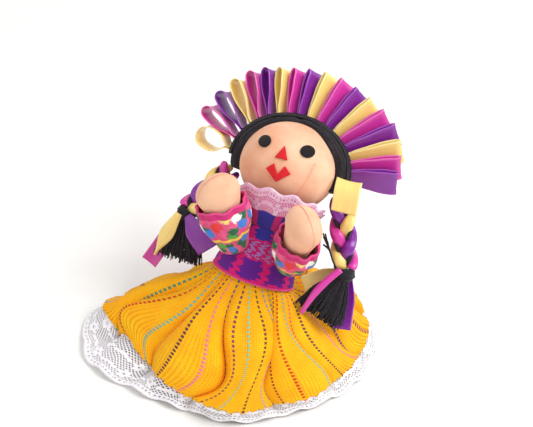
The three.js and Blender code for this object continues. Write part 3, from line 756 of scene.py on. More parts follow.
class Finish(Graph):
    """A material's node tree, with its shader and what most of the finishes share."""

    def __init__(self, name: str, roughness: float, sheen: float, specular: float = 0.3) -> None:
        """Starts a material.

        Args:
            name: The finish's name.
            roughness: How dull it is.
            sheen: How much light its loose fibres catch.
            specular: How strong its highlights are.
        """
        self.material = bpy.data.materials.new(name)
        self.material.use_nodes = True
        super().__init__(self.material.node_tree)
        self.shader = self.tree.nodes["Principled BSDF"]
        self.fill(self.shader, {"Roughness": roughness, "Specular IOR Level": specular})
        self.fill(self.shader, {"Sheen Weight": sheen, "Sheen Roughness": 0.4})

    def chart(self) -> Value:
        """The cloth's flat place in millimetres."""
        flat = self.made(self.add("ShaderNodeTexCoord"), "UV")
        return self.made(self.add("ShaderNodeVectorMath", {0: flat, "Scale": CHART}, operation="SCALE"))

    def solid_place(self) -> Value:
        """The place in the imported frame, in metres."""
        return self.made(self.add("ShaderNodeTexCoord"), "Object")

    def fuzz(self, scale: float) -> dict[str, Value]:
        """Loose fibres of a scale."""
        return self.group(fibre_effect(), Place=self.solid_place(), Scale=scale)

    def weave(self, warp: float, weft: float) -> dict[str, Value]:
        """Crossed threads of two pitches."""
        return self.group(weave_effect(), Chart=self.chart(), Warp=warp, Weft=weft)

    def clouded(self, fuzz: dict[str, Value], soft: float, first: Colour, second: Colour) -> Value:
        """Two colours that drift into each other over the cloth."""
        return self.mix(self.step(fuzz["Shade"], 1.0, soft), first, second)

    def shaded(self, tint: Tint, shade: Value) -> Value:
        """A colour made darker or lighter by a shade."""
        grey = self.made(self.add("ShaderNodeCombineColor", {0: shade, 1: shade, 2: shade}))
        return self.mix(1.0, tint, grey, "MULTIPLY")

    def finished(self, tint: Value, height: Value, depth: float) -> Material:
        """The material with its colour, and with a height of some depth in millimetres to catch the light.

        Args:
            tint: The colour.
            height: The relief that catches the light, from 0 to 1.
            depth: What 1 of it stands for, in millimetres.

        Returns:
            The material.
        """
        bump = self.add("ShaderNodeBump", {"Distance": depth * MM, "Height": height})
        self.fill(self.shader, {"Base Color": tint, "Normal": self.made(bump, "Normal")})
        return self.material


@dataclass(frozen=True)
class CottonSkin:
    """Peach jersey, stretched over stuffing so that its fine wales show."""

    light: Colour = colour(243, 198, 165)
    deep: Colour = colour(230, 162, 128)
    course: float = 1.3
    wale: float = 0.8

    def material(self) -> Material:
        """The skin's material.

        Returns:
            The material.
        """
        finish = Finish("cotton_skin", 0.9, 0.05)
        finish.fill(finish.shader, {"Subsurface Weight": 0.08, "Subsurface Radius": (0.004, 0.002, 0.001)})
        fuzz, weave = finish.fuzz(70.0), finish.weave(self.course, self.wale)
        tint = finish.clouded(fuzz, 0.16, self.deep, self.light)
        # Painted shade: the wales' grooves are made slightly darker.
        tint = finish.shaded(tint, weave["Height"] * 0.08 + 0.95)
        return finish.finished(tint, fuzz["Height"] * 0.3 + weave["Height"], 0.12)


@dataclass(frozen=True)
class Felt:
    """Pressed felt with a fuzzy face."""

    name: str
    tint: Colour
    roughness: float = 0.95
    sheen: float = 0.2
    grain: float = 500.0
    pile: float = 0.25

    def material(self) -> Material:
        """The cloth's material.

        Returns:
            The material.
        """
        finish = Finish(self.name, self.roughness, self.sheen)
        fuzz = finish.fuzz(self.grain)
        return finish.finished(finish.shaded(self.tint, fuzz["Shade"]), fuzz["Height"], self.pile)


@dataclass(frozen=True)
class Binding(Felt):
    """Plain cotton thread and binding, smoother than felt."""

    roughness: float = 0.8
    sheen: float = 0.1
    grain: float = 260.0
    pile: float = 0.15


@dataclass(frozen=True)
class Yarn:
    """Black wool yarn with a soft twist, with painted glints on loose fibres and along its strands."""

    tint: Colour = colour(18, 15, 20)
    glint: Colour = colour(62, 56, 66)
    streak: tuple[float, float, float] = (0.06, 2.0, 1.0)

    def material(self) -> Material:
        """The yarn's material.

        Returns:
            The material.
        """
        finish = Finish("black_yarn", 0.75, 0.2)
        fuzz = finish.fuzz(320.0)
        # Painted highlights: fibre tips and stretched streaks along the strands are mixed towards the glint
        # colour.
        strand = finish.step(finish.noise(finish.stretched(finish.chart(), self.streak), 1.0, 3.0), 0.56, 0.1)
        lit = finish.math("MAXIMUM", finish.step(fuzz["Height"], 0.62, 0.12), strand * 0.6)
        return finish.finished(finish.mix(lit, self.tint, self.glint), fuzz["Height"], 0.3)


@dataclass(frozen=True)
class Satin:
    """Satin ribbon with a smooth face and firm edges, with painted sheen streaks and a painted highlight along
    each edge.
    """

    ribbon: Ribbon
    tint: Colour
    glow: Colour

    def material(self) -> Material:
        """The ribbon's material.

        Returns:
            The material.
        """
        finish = Finish(f"{self.ribbon.value}_satin", 0.34, 0.0, 0.7)
        satin = finish.group(satin_effect(), Chart=finish.chart())
        finish.fill(finish.shader, {"Anisotropic": 0.4, "Roughness": satin["Shade"] * -0.25 + 0.5})
        # Painted light: the streaks' shade is painted sheen, and the edges are mixed towards a painted
        # highlight colour.
        tint = finish.mix(satin["Edge"], finish.shaded(self.tint, satin["Shade"]), self.glow)
        return finish.finished(tint, satin["Height"], 0.05)


@dataclass(frozen=True)
class FlowerLace:
    """Cotton lace, open over what lies behind it, or lined and sewn to a woven band with blocks."""

    name: str
    tint: Colour
    faint: Colour
    lining: Colour | None = None
    lace_depth: float = 10.0
    block: Colour = colour(56, 52, 160)
    block_repeat: float = 18.2
    gap: tuple[float, float] = (0.36, 0.64)

    def material(self) -> Material:
        """The lace's material.

        Returns:
            The material.
        """
        finish = Finish(self.name, 0.9, 0.2)
        lace = finish.group(lace_effect(), Chart=finish.chart())
        tint = finish.clouded(finish.fuzz(400.0), 0.12, self.faint, self.tint)
        if self.lining is None:
            finish.fill(finish.shader, {"Alpha": lace["Mask"]})
        else:
            along, inward = finish.split(finish.chart())
            repeat = finish.fract(along / self.block_repeat)
            blocks = finish.mix(finish.band(repeat, *self.gap, 0.03), self.block, self.lining)
            # Painted shade: the band's weave shade darkens it where the threads dip.
            woven = finish.shaded(blocks, finish.weave(0.9, 1.1)["Shade"])
            flowers = finish.mix(lace["Mask"], self.lining, tint)
            tint = finish.mix(finish.step(inward, self.lace_depth, 0.2), flowers, woven)
        return finish.finished(tint, lace["Height"], 0.3)


@dataclass(frozen=True)
class StripedWeave:
    """Golden ribbed cotton with dashed stripes from waist to hem."""

    gold: Colour = colour(255, 192, 18)
    deep: Colour = colour(255, 168, 8)
    pitch: float = 8.4
    pitch_drift: float = 1.4
    thread: float = 0.47
    dash: float = 1.75
    dash_shift: float = 0.37
    waist: float = 140.0
    hem: float = 360.0
    length: float = 56.0
    stripes: tuple[Colour, ...] = (
        colour(214, 46, 30),
        colour(96, 190, 170),
        colour(236, 80, 96),
        colour(62, 40, 66),
        colour(248, 128, 150),
        colour(62, 84, 126),
        colour(128, 34, 88),
        colour(138, 214, 176),
        colour(40, 54, 48),
        colour(150, 160, 200),
        colour(24, 148, 120),
        colour(142, 32, 40),
    )

    def material(self) -> Material:
        """The skirt cloth's material.

        Returns:
            The material.
        """
        finish = Finish("striped_weave", 0.9, 0.0)
        across, down = finish.split(finish.chart())
        spot = (finish.math("SINE", across * 0.19) * self.pitch_drift + across) / self.pitch
        number = finish.floor(spot)
        girth = down * ((self.hem - self.waist) / self.length) + self.waist
        half = self.thread * self.hem / self.pitch / girth
        stripe = finish.below(abs(finish.fract(spot) - 0.5) - half, 0.0, 0.02)
        phase = finish.fract(number * self.dash_shift + down / self.dash)
        dashes = stripe * finish.band(phase, 0.06, 0.66, 0.06)
        thread = finish.listed(finish.fract((number + 0.5) / float(len(self.stripes))), self.stripes)
        weave = finish.weave(1.1, 0.85)
        ground = finish.clouded(finish.fuzz(120.0), 0.2, self.deep, self.gold)
        # Painted shade: the weave's shade, strengthened, darkens the gaps between the threads.
        ground = finish.shaded(ground, weave["Shade"] * 1.3 - 0.24)
        tint = finish.mix(dashes * 0.9, ground, thread)
        return finish.finished(tint, dashes * 0.6 + weave["Height"], 0.4)


@dataclass(frozen=True)
class BlockWeave:
    """Hand-woven cloth: pink bands over blue, lavender and violet blocks with ragged, stitched edges."""

    pink: Colour = colour(226, 20, 120)
    blue: Colour = colour(56, 52, 160)
    violet: Colour = colour(104, 26, 150)
    lavender: Colour = colour(176, 122, 200)
    rose: Colour = colour(206, 24, 110)
    stitch: float = 0.62
    dash: float = 4.6
    block: float = 12.0
    post: float = 0.27
    height: float = 32.0
    violet_from: float = 2.0
    middle: tuple[float, float] = (12.0, 20.6)
    blue_to: float = 29.6
    edging: float = 0.8

    def material(self) -> Material:
        """The blouse cloth's material.

        Returns:
            The material.
        """
        finish = Finish("block_weave", 0.85, 0.1)
        across, up = finish.split(finish.chart())
        ragged_across = finish.chance(finish.floor(up / self.stitch), 7.0) * 2.2 + across
        ragged_up = finish.chance(finish.floor(across / (self.dash / 2)), 3.0) * 1.2 + up
        low, high = self.middle
        levels = (
            (0.0, self.pink),
            (self.violet_from, self.violet),
            (low - self.edging, self.pink),
            (low, self.rose),
            (high, self.pink),
            (high + self.edging, self.blue),
            (self.blue_to, self.pink),
        )
        zones = finish.ramp(ragged_up / self.height, [(level / self.height, tint) for level, tint in levels])
        middle = finish.band(ragged_up, low, high, 0.05)
        lap = finish.chance(finish.floor(up / (2 * self.stitch)), 5.0)
        float_thread = finish.below(finish.fract(ragged_across / self.dash + lap), 0.46, 0.03)
        ground = finish.mix(middle * float_thread, zones, self.lavender)
        post = finish.below(finish.fract(ragged_across / self.block + 0.35), self.post, 0.02)
        tint = finish.mix(post * (1.0 - middle * 0.85), ground, self.pink)
        weave = finish.weave(1.2, 1.2)
        # Painted shade: the stitch threads and the weave darken the cloth where the threads dip.
        threads = finish.math("SINE", (across * 0.25 + up) * (TURN / self.stitch))
        tint = finish.shaded(tint, threads * 0.14 + weave["Shade"])
        return finish.finished(tint, threads * 0.5 + weave["Height"], 0.25)


@dataclass(frozen=True)
class Patches:
    """Scattered patches of a print: their spacing, and how their edges wander."""

    shift: float
    spacing: float
    grain: float
    wander: float
    reach: float
    soft: float

    def laid(self, finish: Finish) -> tuple[Value, Value]:
        """The patches' mask and a chance value for each patch.

        Args:
            finish: The finish that is printed.

        Returns:
            The mask and the chance values.
        """
        chart = finish.chart()
        shift = (self.shift, self.shift * 0.7, 0.0)
        moved = finish.made(finish.add("ShaderNodeVectorMath", {0: chart, 1: shift}, operation="ADD"))
        sockets = {"Vector": moved, "Scale": 1 / self.spacing}
        cells = finish.add("ShaderNodeTexVoronoi", sockets, voronoi_dimensions="2D")
        span = finish.made(cells, "Distance") * self.spacing
        edge = finish.noise(chart, self.grain) * self.wander + span
        return finish.below(edge, self.reach, self.soft), finish.split(finish.made(cells, "Color"))[0]


@dataclass(frozen=True)
class FlowerPrint:
    """Pink cotton printed with small leaves and blossoms, with a plain cuff and a yellow line."""

    pink: Colour = colour(214, 62, 122)
    pale: Colour = colour(236, 110, 150)
    leaf: Colour = colour(40, 104, 70)
    blooms: tuple[Colour, ...] = (
        colour(244, 240, 236),
        colour(70, 130, 214),
        colour(250, 226, 120),
        colour(90, 170, 80),
        colour(240, 240, 240),
        colour(220, 60, 60),
    )
    leaf_patches: Patches = Patches(11.0, 7.5, 0.7, 4.0, 4.4, 0.4)
    bloom_patches: Patches = Patches(0.0, 8.5, 0.9, 3.6, 4.3, 0.35)
    cuff: Colour = colour(204, 48, 118)
    cuff_from: float = 3.2
    trim: Colour = colour(250, 204, 78)
    trim_from: float = 14.5
    trim_width: float = 1.8

    def material(self) -> Material:
        """The sleeves' material.

        Returns:
            The material.
        """
        finish = Finish("flower_print", 0.8, 0.1)
        tint = finish.clouded(finish.fuzz(160.0), 0.15, self.pink, self.pale)
        tint = finish.mix(self.leaf_patches.laid(finish)[0], tint, self.leaf)
        mask, pick = self.bloom_patches.laid(finish)
        tint = finish.mix(mask, tint, finish.listed(pick, self.blooms))
        _, inward = finish.split(finish.chart())
        tint = finish.mix(finish.step(inward, self.cuff_from, 0.2), self.cuff, tint)
        line = finish.band(inward, self.trim_from, self.trim_from + self.trim_width, 0.2)
        weave = finish.weave(0.7, 0.7)
        # Painted shade: the weave's shade darkens the print where the threads dip.
        tint = finish.shaded(finish.mix(line, tint, self.trim), weave["Shade"])
        return finish.finished(tint, weave["Height"], 0.12)


class Wardrobe:
    """Every finish, made once."""

    def __init__(self) -> None:
        """Makes the materials."""
        satins = (
            Satin(Ribbon.GOLD, colour(242, 210, 122), colour(250, 226, 150)),
            Satin(Ribbon.MAGENTA, colour(206, 52, 156), colour(226, 96, 180)),
            Satin(Ribbon.PURPLE, colour(126, 28, 150), colour(156, 66, 178)),
        )
        white, lilac, lining = colour(253, 250, 253), colour(248, 220, 240), colour(206, 40, 120)
        self.skin = CottonSkin().material()
        self.black_felt = Felt("black_felt", colour(26, 22, 26)).material()
        self.red_felt = Felt("red_felt", colour(214, 34, 44)).material()
        self.yarn = Yarn().material()
        self.satin = {satin.ribbon: satin.material() for satin in satins}
        self.blouse = BlockWeave().material()
        self.skirt = StripedWeave().material()
        self.sleeve = FlowerPrint().material()
        self.hem_lace = FlowerLace("white_lace", white, colour(244, 240, 246)).material()
        self.collar_lace = FlowerLace("lilac_lace", lilac, colour(238, 190, 224), lining).material()
        self.pink_edge = Binding("pink_binding", colour(214, 70, 132)).material()
        self.seam = Binding("seam_thread", colour(230, 132, 122)).material()


@dataclass
class Assembly:
    """A part of the doll, dressed from one wardrobe."""

    wardrobe: Wardrobe


@dataclass
class Torso(Assembly):
    """The bent, stuffed torso that the clothes are cut round."""

    height: float = 70.0
    bend_start: float = 8.0
    bend_end: float = 37.0
    recline: float = radians(30)
    heading: float = radians(30)
    depth_share: float = 0.82
    heights: tuple[float, ...] = (0.0, 11.0, 37.0, 54.0, 64.0, 70.0)
    widths: tuple[float, ...] = (37.0, 41.0, 36.0, 33.0, 27.0, 17.0)
    girth: float = 120.0
    inset: float = 0.1
    end_roll: float = 5.0
    end_share: float = 0.62

    def frame(self, height: float) -> Matrix:
        """The torso's own axes at a height along its bent middle.

        Args:
            height: The height.

        Returns:
            The axes.
        """
        radius = (self.bend_end - self.bend_start) / self.recline
        share = min(1.0, max(0.0, (height - self.bend_start) / (self.bend_end - self.bend_start)))
        bent = share * self.recline
        beyond = max(0.0, height - self.bend_end)
        back = radius * (1 - cos(bent)) + beyond * sin(bent)
        rise = min(height, self.bend_start) + radius * sin(bent) + beyond * cos(bent)
        way = Vector((sin(self.heading), cos(self.heading), 0))
        hinge = Vector((-way.y, way.x, 0))
        place = Matrix.Translation(Vector((way.x * back, way.y * back, rise)))
        return place @ Quaternion(hinge, bent).to_matrix().to_4x4()

    def half_width(self, height: float) -> float:
        """Half the torso's width at a height.

        Args:
            height: The height along its bent middle.

        Returns:
            Half the width.
        """
        height = min(max(height, 0.0), self.height)
        last = len(self.heights) - 1
        index = max(i for i in range(last) if height >= self.heights[i])
        span = self.heights[index + 1] - self.heights[index]

        def slope(i: int) -> float:
            """The width's slope at a known height."""
            before, after = max(i - 1, 0), min(i + 1, last)
            return (self.widths[after] - self.widths[before]) / (self.heights[after] - self.heights[before])

        start, finish = slope(index) * span, slope(index + 1) * span
        share = (height - self.heights[index]) / span
        return eased(self.widths[index], start, self.widths[index + 1], finish, share) / 2

    def edge(self, height: float, angle: float, offset: float) -> Vector:
        """A place on or off the torso's surface, in its axes at that height.

        Args:
            height: The height along its bent middle.
            angle: The heading round it.
            offset: How far off the surface.

        Returns:
            The point.
        """
        half = self.half_width(height)
        deep = half * self.depth_share
        return Vector(((half + offset) * cos(angle), (deep + offset) * sin(angle), 0))

    def point(self, height: float, angle: float, offset: float) -> Vector:
        """A place on or off the torso's surface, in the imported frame."""
        return self.frame(height) @ self.edge(height, angle, offset)

    def build(self) -> None:
        """Makes the stuffed body under the clothes."""

        def place(across: float, along: float) -> Vector:
            """The body's surface, drawn in at the seat and the neck.

            Args:
                across: The share round.
                along: The share along.

            Returns:
                The point.
            """
            height = along * self.height
            end = min(height, self.height - height)
            out = lerp(self.end_share, 1.0, rounded(end / self.end_roll)) if end > 0 else 0.0
            return (self.frame(height) @ MIDDLE).lerp(self.point(height, TURN * across, -self.inset), out)

        mesh = outward(laid_sheet(64, 60, place, flat_chart(self.girth, self.height), closed=True))
        nodes = ["torso_skin", "torso_stuffing"]
        body = carried(piece_from("stuffed_torso", mesh), "torso", self.wardrobe.skin, nodes)


@dataclass
class Blouse(Assembly):
    """The woven blouse, wider at the waist over the skirt's top, and its lace collar."""

    torso: Torso
    bottom: float = 36.0
    top: float = 65.0
    girth: float = 104.0
    tuck: float = 3.0
    tuck_room: float = 0.75
    rolled_edge: float = 0.5
    eases: tuple[tuple[float, int, int], ...] = ((0.25, 3, 5), (0.15, 7, -9))
    collar_bottom: float = 63.0
    collar_front: float = 83.0
    collar_back: float = 68.0
    collar_depth: float = 17.0
    collar_flare: float = 9.5
    collar_wave: float = 0.6
    collar_ruffle: float = 0.2
    scallops: int = 13
    scallop_share: float = 0.05
    plait_bearing: float = radians(-14)
    plait_room: float = 2.6
    plait_spread: float = 0.85

    def offset(self, height: float) -> float:
        """How far the blouse's inside stands off the torso.

        Args:
            height: The height on the torso.

        Returns:
            The distance.
        """
        edge = self.bottom + self.tuck
        low = 1 - smoothstep(height, edge - 1, edge + 3 * self.tuck)
        return CLEARANCE + low * (WEAVE + self.tuck_room)

    def build(self) -> None:
        """Makes the blouse, its rolled waist edge and its collar."""
        self._body()
        self._waist_edge()
        self._collar()

    def _body(self) -> None:
        """Makes the woven front and back."""

        def place(across: float, along: float) -> Vector:
            """The blouse's cloth, slightly pulled in at the waist and soft between.

            Args:
                across: The share round.
                along: The share along.

            Returns:
                The point.
            """
            height, angle = lerp(self.bottom, self.top, along), TURN * across
            soft = sum(rise * sin(turns * angle + drift * along) for rise, turns, drift in self.eases)
            off = self.offset(height) + WEAVE / 2 + soft * sin(pi * along)
            return self.torso.point(height, angle, off)

        mesh = laid_sheet(144, 40, place, flat_chart(self.girth, self.top - self.bottom), closed=True)
        piece = piece_from("woven_blouse", mesh, WEAVE)
        carried(piece, "torso", self.wardrobe.blouse, ["blouse"])

    def _waist_edge(self) -> None:
        """Makes the pink rolled edge where the blouse ends over the skirt."""
        reach, steps = self.offset(self.bottom) + WEAVE, 120
        ring = [self.torso.point(self.bottom + 0.2, TURN * i / steps, reach) for i in range(steps)]
        edge = thread_piece("blouse_rolled_edge", [ring], self.rolled_edge, looped=True)
        carried(edge, "torso", self.wardrobe.pink_edge)

    def _collar(self) -> None:
        """Makes the lace frill that stands up round the chin."""
        sewn = CLEARANCE + WEAVE + CLEARANCE + LACE / 2

        def place(across: float, along: float) -> Vector:
            """The frill's cloth, from its sewn edge to its scallops.

            Args:
                across: The share round.
                along: The share along.

            Returns:
                The point.
            """
            angle = TURN * across
            beat = cos(angle * self.scallops)
            top = lerp(self.collar_back, self.collar_front, (1 - sin(angle)) / 2)
            near_plait = bell(remainder(angle - self.plait_bearing, TURN), self.plait_spread)
            flare = self.collar_flare + self.collar_wave * beat - self.plait_room * near_plait
            height = lerp(self.collar_bottom, top, along * (1 + self.scallop_share * beat))
            ruffle = self.collar_ruffle * along * sin(angle * self.scallops * 2)
            spot = self.torso.edge(self.collar_bottom, angle, sewn + along * flare + ruffle)
            return self.torso.frame(height) @ spot

        def chart(across: float, along: float) -> Vector:
            """The frill laid flat, measured in from its scallops."""
            return Vector((across * LACE_REPEAT * self.scallops, (1 - along) * self.collar_depth, 0))

        mesh = laid_sheet(390, 18, place, chart, closed=True)
        piece = piece_from("lace_collar", mesh, LACE_THREAD)
        carried(piece, "torso", self.wardrobe.collar_lace, ["collar_lace"])


@dataclass
class Skirt(Assembly):
    """The gathered skirt and the lace under its hem."""

    torso: Torso
    blouse: Blouse
    hem_reach: tuple[float, ...] = (64, 62, 54, 47, 43, 42, 47, 56, 71, 58, 53.5, 55.5, 57.5, 55, 57, 60.5)
    lace_reach: tuple[float, ...] = (7, 5, 3, 2.5, 2.5, 2.5, 2.5, 3, 8, 21, 12, 4, 2.5, 3, 4, 6)
    girth: float = 360.0
    length: float = 56.0
    hem_level: float = 7.0
    drape_ease: float = 6.5
    drape_low: float = 16.0
    drape_share: float = 0.62
    lap_from: float = 0.3
    lap_to: float = 0.8
    leg_top: float = 16.3
    fold_count: int = 12
    fold_height: float = 8.4
    fold_sink: float = 2.0
    fold_fullness: float = 0.55
    fold_overlap: float = 0.07
    small_fold: float = 0.1
    broad_sway: float = 0.2
    narrow_sway: float = 0.1
    pressed_at: float = radians(338)
    pressed_share: float = 0.8
    pressed_width: float = 0.45
    flat_at: float = radians(140)
    flat_share: float = 0.55
    flat_width: float = 0.6
    gather_count: int = 37
    gather_height: float = 2.4
    frays: tuple[tuple[float, int, int], ...] = ((0.012, 97, 0), (0.008, 211, 1))
    lace_level: float = 0.7
    lace_repeats: int = 26
    lace_scallop: float = 1.6
    lace_ripple: float = 1.08
    lace_sag: float = 0.6
    sewn_share: float = 0.926
    hem_line: Route = field(init=False)
    foot_line: Route = field(init=False)
    flare_height: float = field(init=False)
    flare_frame: Matrix = field(init=False)

    def __post_init__(self) -> None:
        """Draws the hem and the lace's foot round the doll, and finds where the skirt leaves the torso."""
        outer = [reach + lace for reach, lace in zip(self.hem_reach, self.lace_reach)]
        self.hem_line = self._round(self.hem_reach, self.hem_level)
        self.foot_line = self._round(outer, self.lace_level)
        self.flare_height = self.blouse.bottom - 2 * CLEARANCE
        self.flare_frame = self.torso.frame(self.flare_height)

    @staticmethod
    def _round(reaches: Sequence[float], level: float) -> Route:
        """A closed line through reaches at even headings, from the doll's left towards its back."""
        step = TURN / len(reaches)
        return Route([around(reach, i * step, level) for i, reach in enumerate(reaches)], closed=True)

    def fold_phase(self, angle: float) -> float:
        """Where a heading lies in its fold."""
        return self.fold_count * angle + sin(2 * angle) + 0.7 * sin(3 * angle + 1)

    def fold_lift(self, angle: float) -> float:
        """How far a fold lifts the cloth.

        Args:
            angle: The heading round the doll.

        Returns:
            The lift.
        """
        crest = 0.5 + 0.5 * cos(self.fold_phase(angle))
        small = self.small_fold * sin(2 * self.fold_count * angle + 2.3 * sin(3 * angle))
        turn = remainder(angle - self.pressed_at, TURN)
        free = 1 - self.pressed_share * bell(turn, self.pressed_width)
        free -= self.flat_share * bell(angle - self.flat_at, self.flat_width)
        return (self.fold_height * (crest**self.fold_fullness + small) - self.fold_sink) * free

    def sway(self, angle: float, share: float) -> float:
        """How far a fold leans round the doll on its way down.

        Args:
            angle: The heading round the doll.
            share: The share of the way down.

        Returns:
            The lean, as an angle.
        """
        broad = self.broad_sway * sin(pi * share) * sin(3 * angle + 0.6)
        narrow = self.narrow_sway * sin(TURN * share) * sin(5 * angle + 2)
        overlap = self.fold_overlap * smoothstep(share, 0.0, 0.4) * sin(self.fold_phase(angle))
        return broad + narrow + overlap

    def point(self, angle: float, share: float, depth: float) -> Vector:
        """The cloth's upper face at a heading and a share of the way down, moved in by depth.

        Args:
            angle: The heading round the doll.
            share: The share of the way down.
            depth: How far under the face.

        Returns:
            The point.
        """
        turned = (angle + self.sway(angle, min(share, 1.0))) % TURN
        waist = self.flare_frame @ self.torso.edge(self.flare_height, turned, CLEARANCE + WEAVE)
        hem = self.hem_line.at(turned / TURN)
        lap = smoothstep(-sin(turned), self.lap_from, self.lap_to)
        drape = waist.lerp(hem, self.drape_share)
        drape.z = lerp(self.drape_low, self.leg_top + self.drape_ease, lap)
        pull = drape * 2 - waist * 0.5 - hem * 0.5
        here = waist * (1 - share) ** 2 + pull * (2 * share * (1 - share)) + hem * share**2
        along = (pull - waist) * (2 * (1 - share)) + (hem - pull) * (2 * share)
        out = along.cross(around(1.0, turned + pi / 2)).normalized()
        gathers = cos(self.gather_count * angle + 3 * sin(5 * angle))
        gathers *= self.gather_height * share * (1 - share) ** 3
        swell = smoothstep(share, -0.1, 0.45) * share**0.3 * (1 - 0.25 * smoothstep(share, 0.65, 1.0))
        return here + out * (self.fold_lift(angle) * swell + gathers - depth)

    def build(self) -> None:
        """Makes the skirt and its lace hem."""
        self._cloth()
        self._lace()

    def _cloth(self) -> None:
        """Makes the gathered cloth from the tuck under the blouse to the cut hem."""
        columns, rows, tucked = 540, 66, 5
        top = self.blouse.bottom + self.blouse.tuck

        def place(across: float, along: float) -> Vector:
            """The skirt's cloth at shares round and down.

            Args:
                across: The share round.
                along: The share along.

            Returns:
                The point.
            """
            angle, row = TURN * across, along * rows
            if row <= tucked:
                height = lerp(top, self.flare_height, row / tucked)
                return self.torso.point(height, angle, CLEARANCE + WEAVE / 2)
            share = (row - tucked) / (rows - tucked)
            if share == 1.0:
                share += sum(depth * sin(count * angle + shift) for depth, count, shift in self.frays)
            return self.point(angle, share, WEAVE / 2)

        mesh = laid_sheet(columns, rows, place, flat_chart(self.girth, self.length), closed=True)
        piece = piece_from("striped_skirt", mesh, WEAVE)
        carried(piece, "torso", self.wardrobe.skirt, ["skirt"])

    def _lace(self) -> None:
        """Makes the flowered lace from under the hem to the floor."""
        columns, rows, sewn = 720, 16, 3
        under = WEAVE + 2 * CLEARANCE + LACE / 2

        @lru_cache(maxsize=None)
        def ends(angle: float) -> tuple[Vector, Vector]:
            """Where the lace leaves the hem and where it meets the floor.

            Args:
                angle: The heading round the doll.

            Returns:
                Both places.
            """
            edge = self.point(angle, 1.0, under)
            foot = self.foot_line.at(angle / TURN)
            scallop = self.lace_scallop * abs(sin(angle * self.lace_repeats / 2))
            foot = foot + (foot - edge).normalized() * (scallop - 0.6)
            foot.z = self.lace_level + LACE / 2
            foot.z += self.lace_ripple * (1 + cos(2 * self.fold_count * angle))
            return edge, foot

        def place(across: float, along: float) -> Vector:
            """The lace at shares round and outwards.

            Args:
                across: The share round.
                along: The share along.

            Returns:
                The point.
            """
            angle, row = TURN * (across % 1.0), along * rows
            if row <= sewn:
                return self.point(angle, lerp(self.sewn_share, 1.0, row / sewn), under)
            share = (row - sewn) / (rows - sewn)
            edge, foot = ends(angle)
            spot = edge.lerp(foot, share)
            spot.z -= self.lace_sag * sin(pi * share)
            return spot

        def chart(across: float, along: float) -> Vector:
            """The lace laid flat, measured in from its scallops.

            Args:
                across: The share round.
                along: The share along.

            Returns:
                The place on the flat cloth.
            """
            edge, foot = ends(TURN * (across % 1.0))
            share = max(0.0, (along * rows - sewn) / (rows - sewn))
            return Vector((across * LACE_REPEAT * self.lace_repeats, (1 - share) * (foot - edge).length, 0))

        mesh = laid_sheet(columns, rows, place, chart, closed=True)
        piece = piece_from("hem_lace_frill", mesh, LACE_THREAD)
        carried(piece, "torso", self.wardrobe.hem_lace, ["hem_lace"])


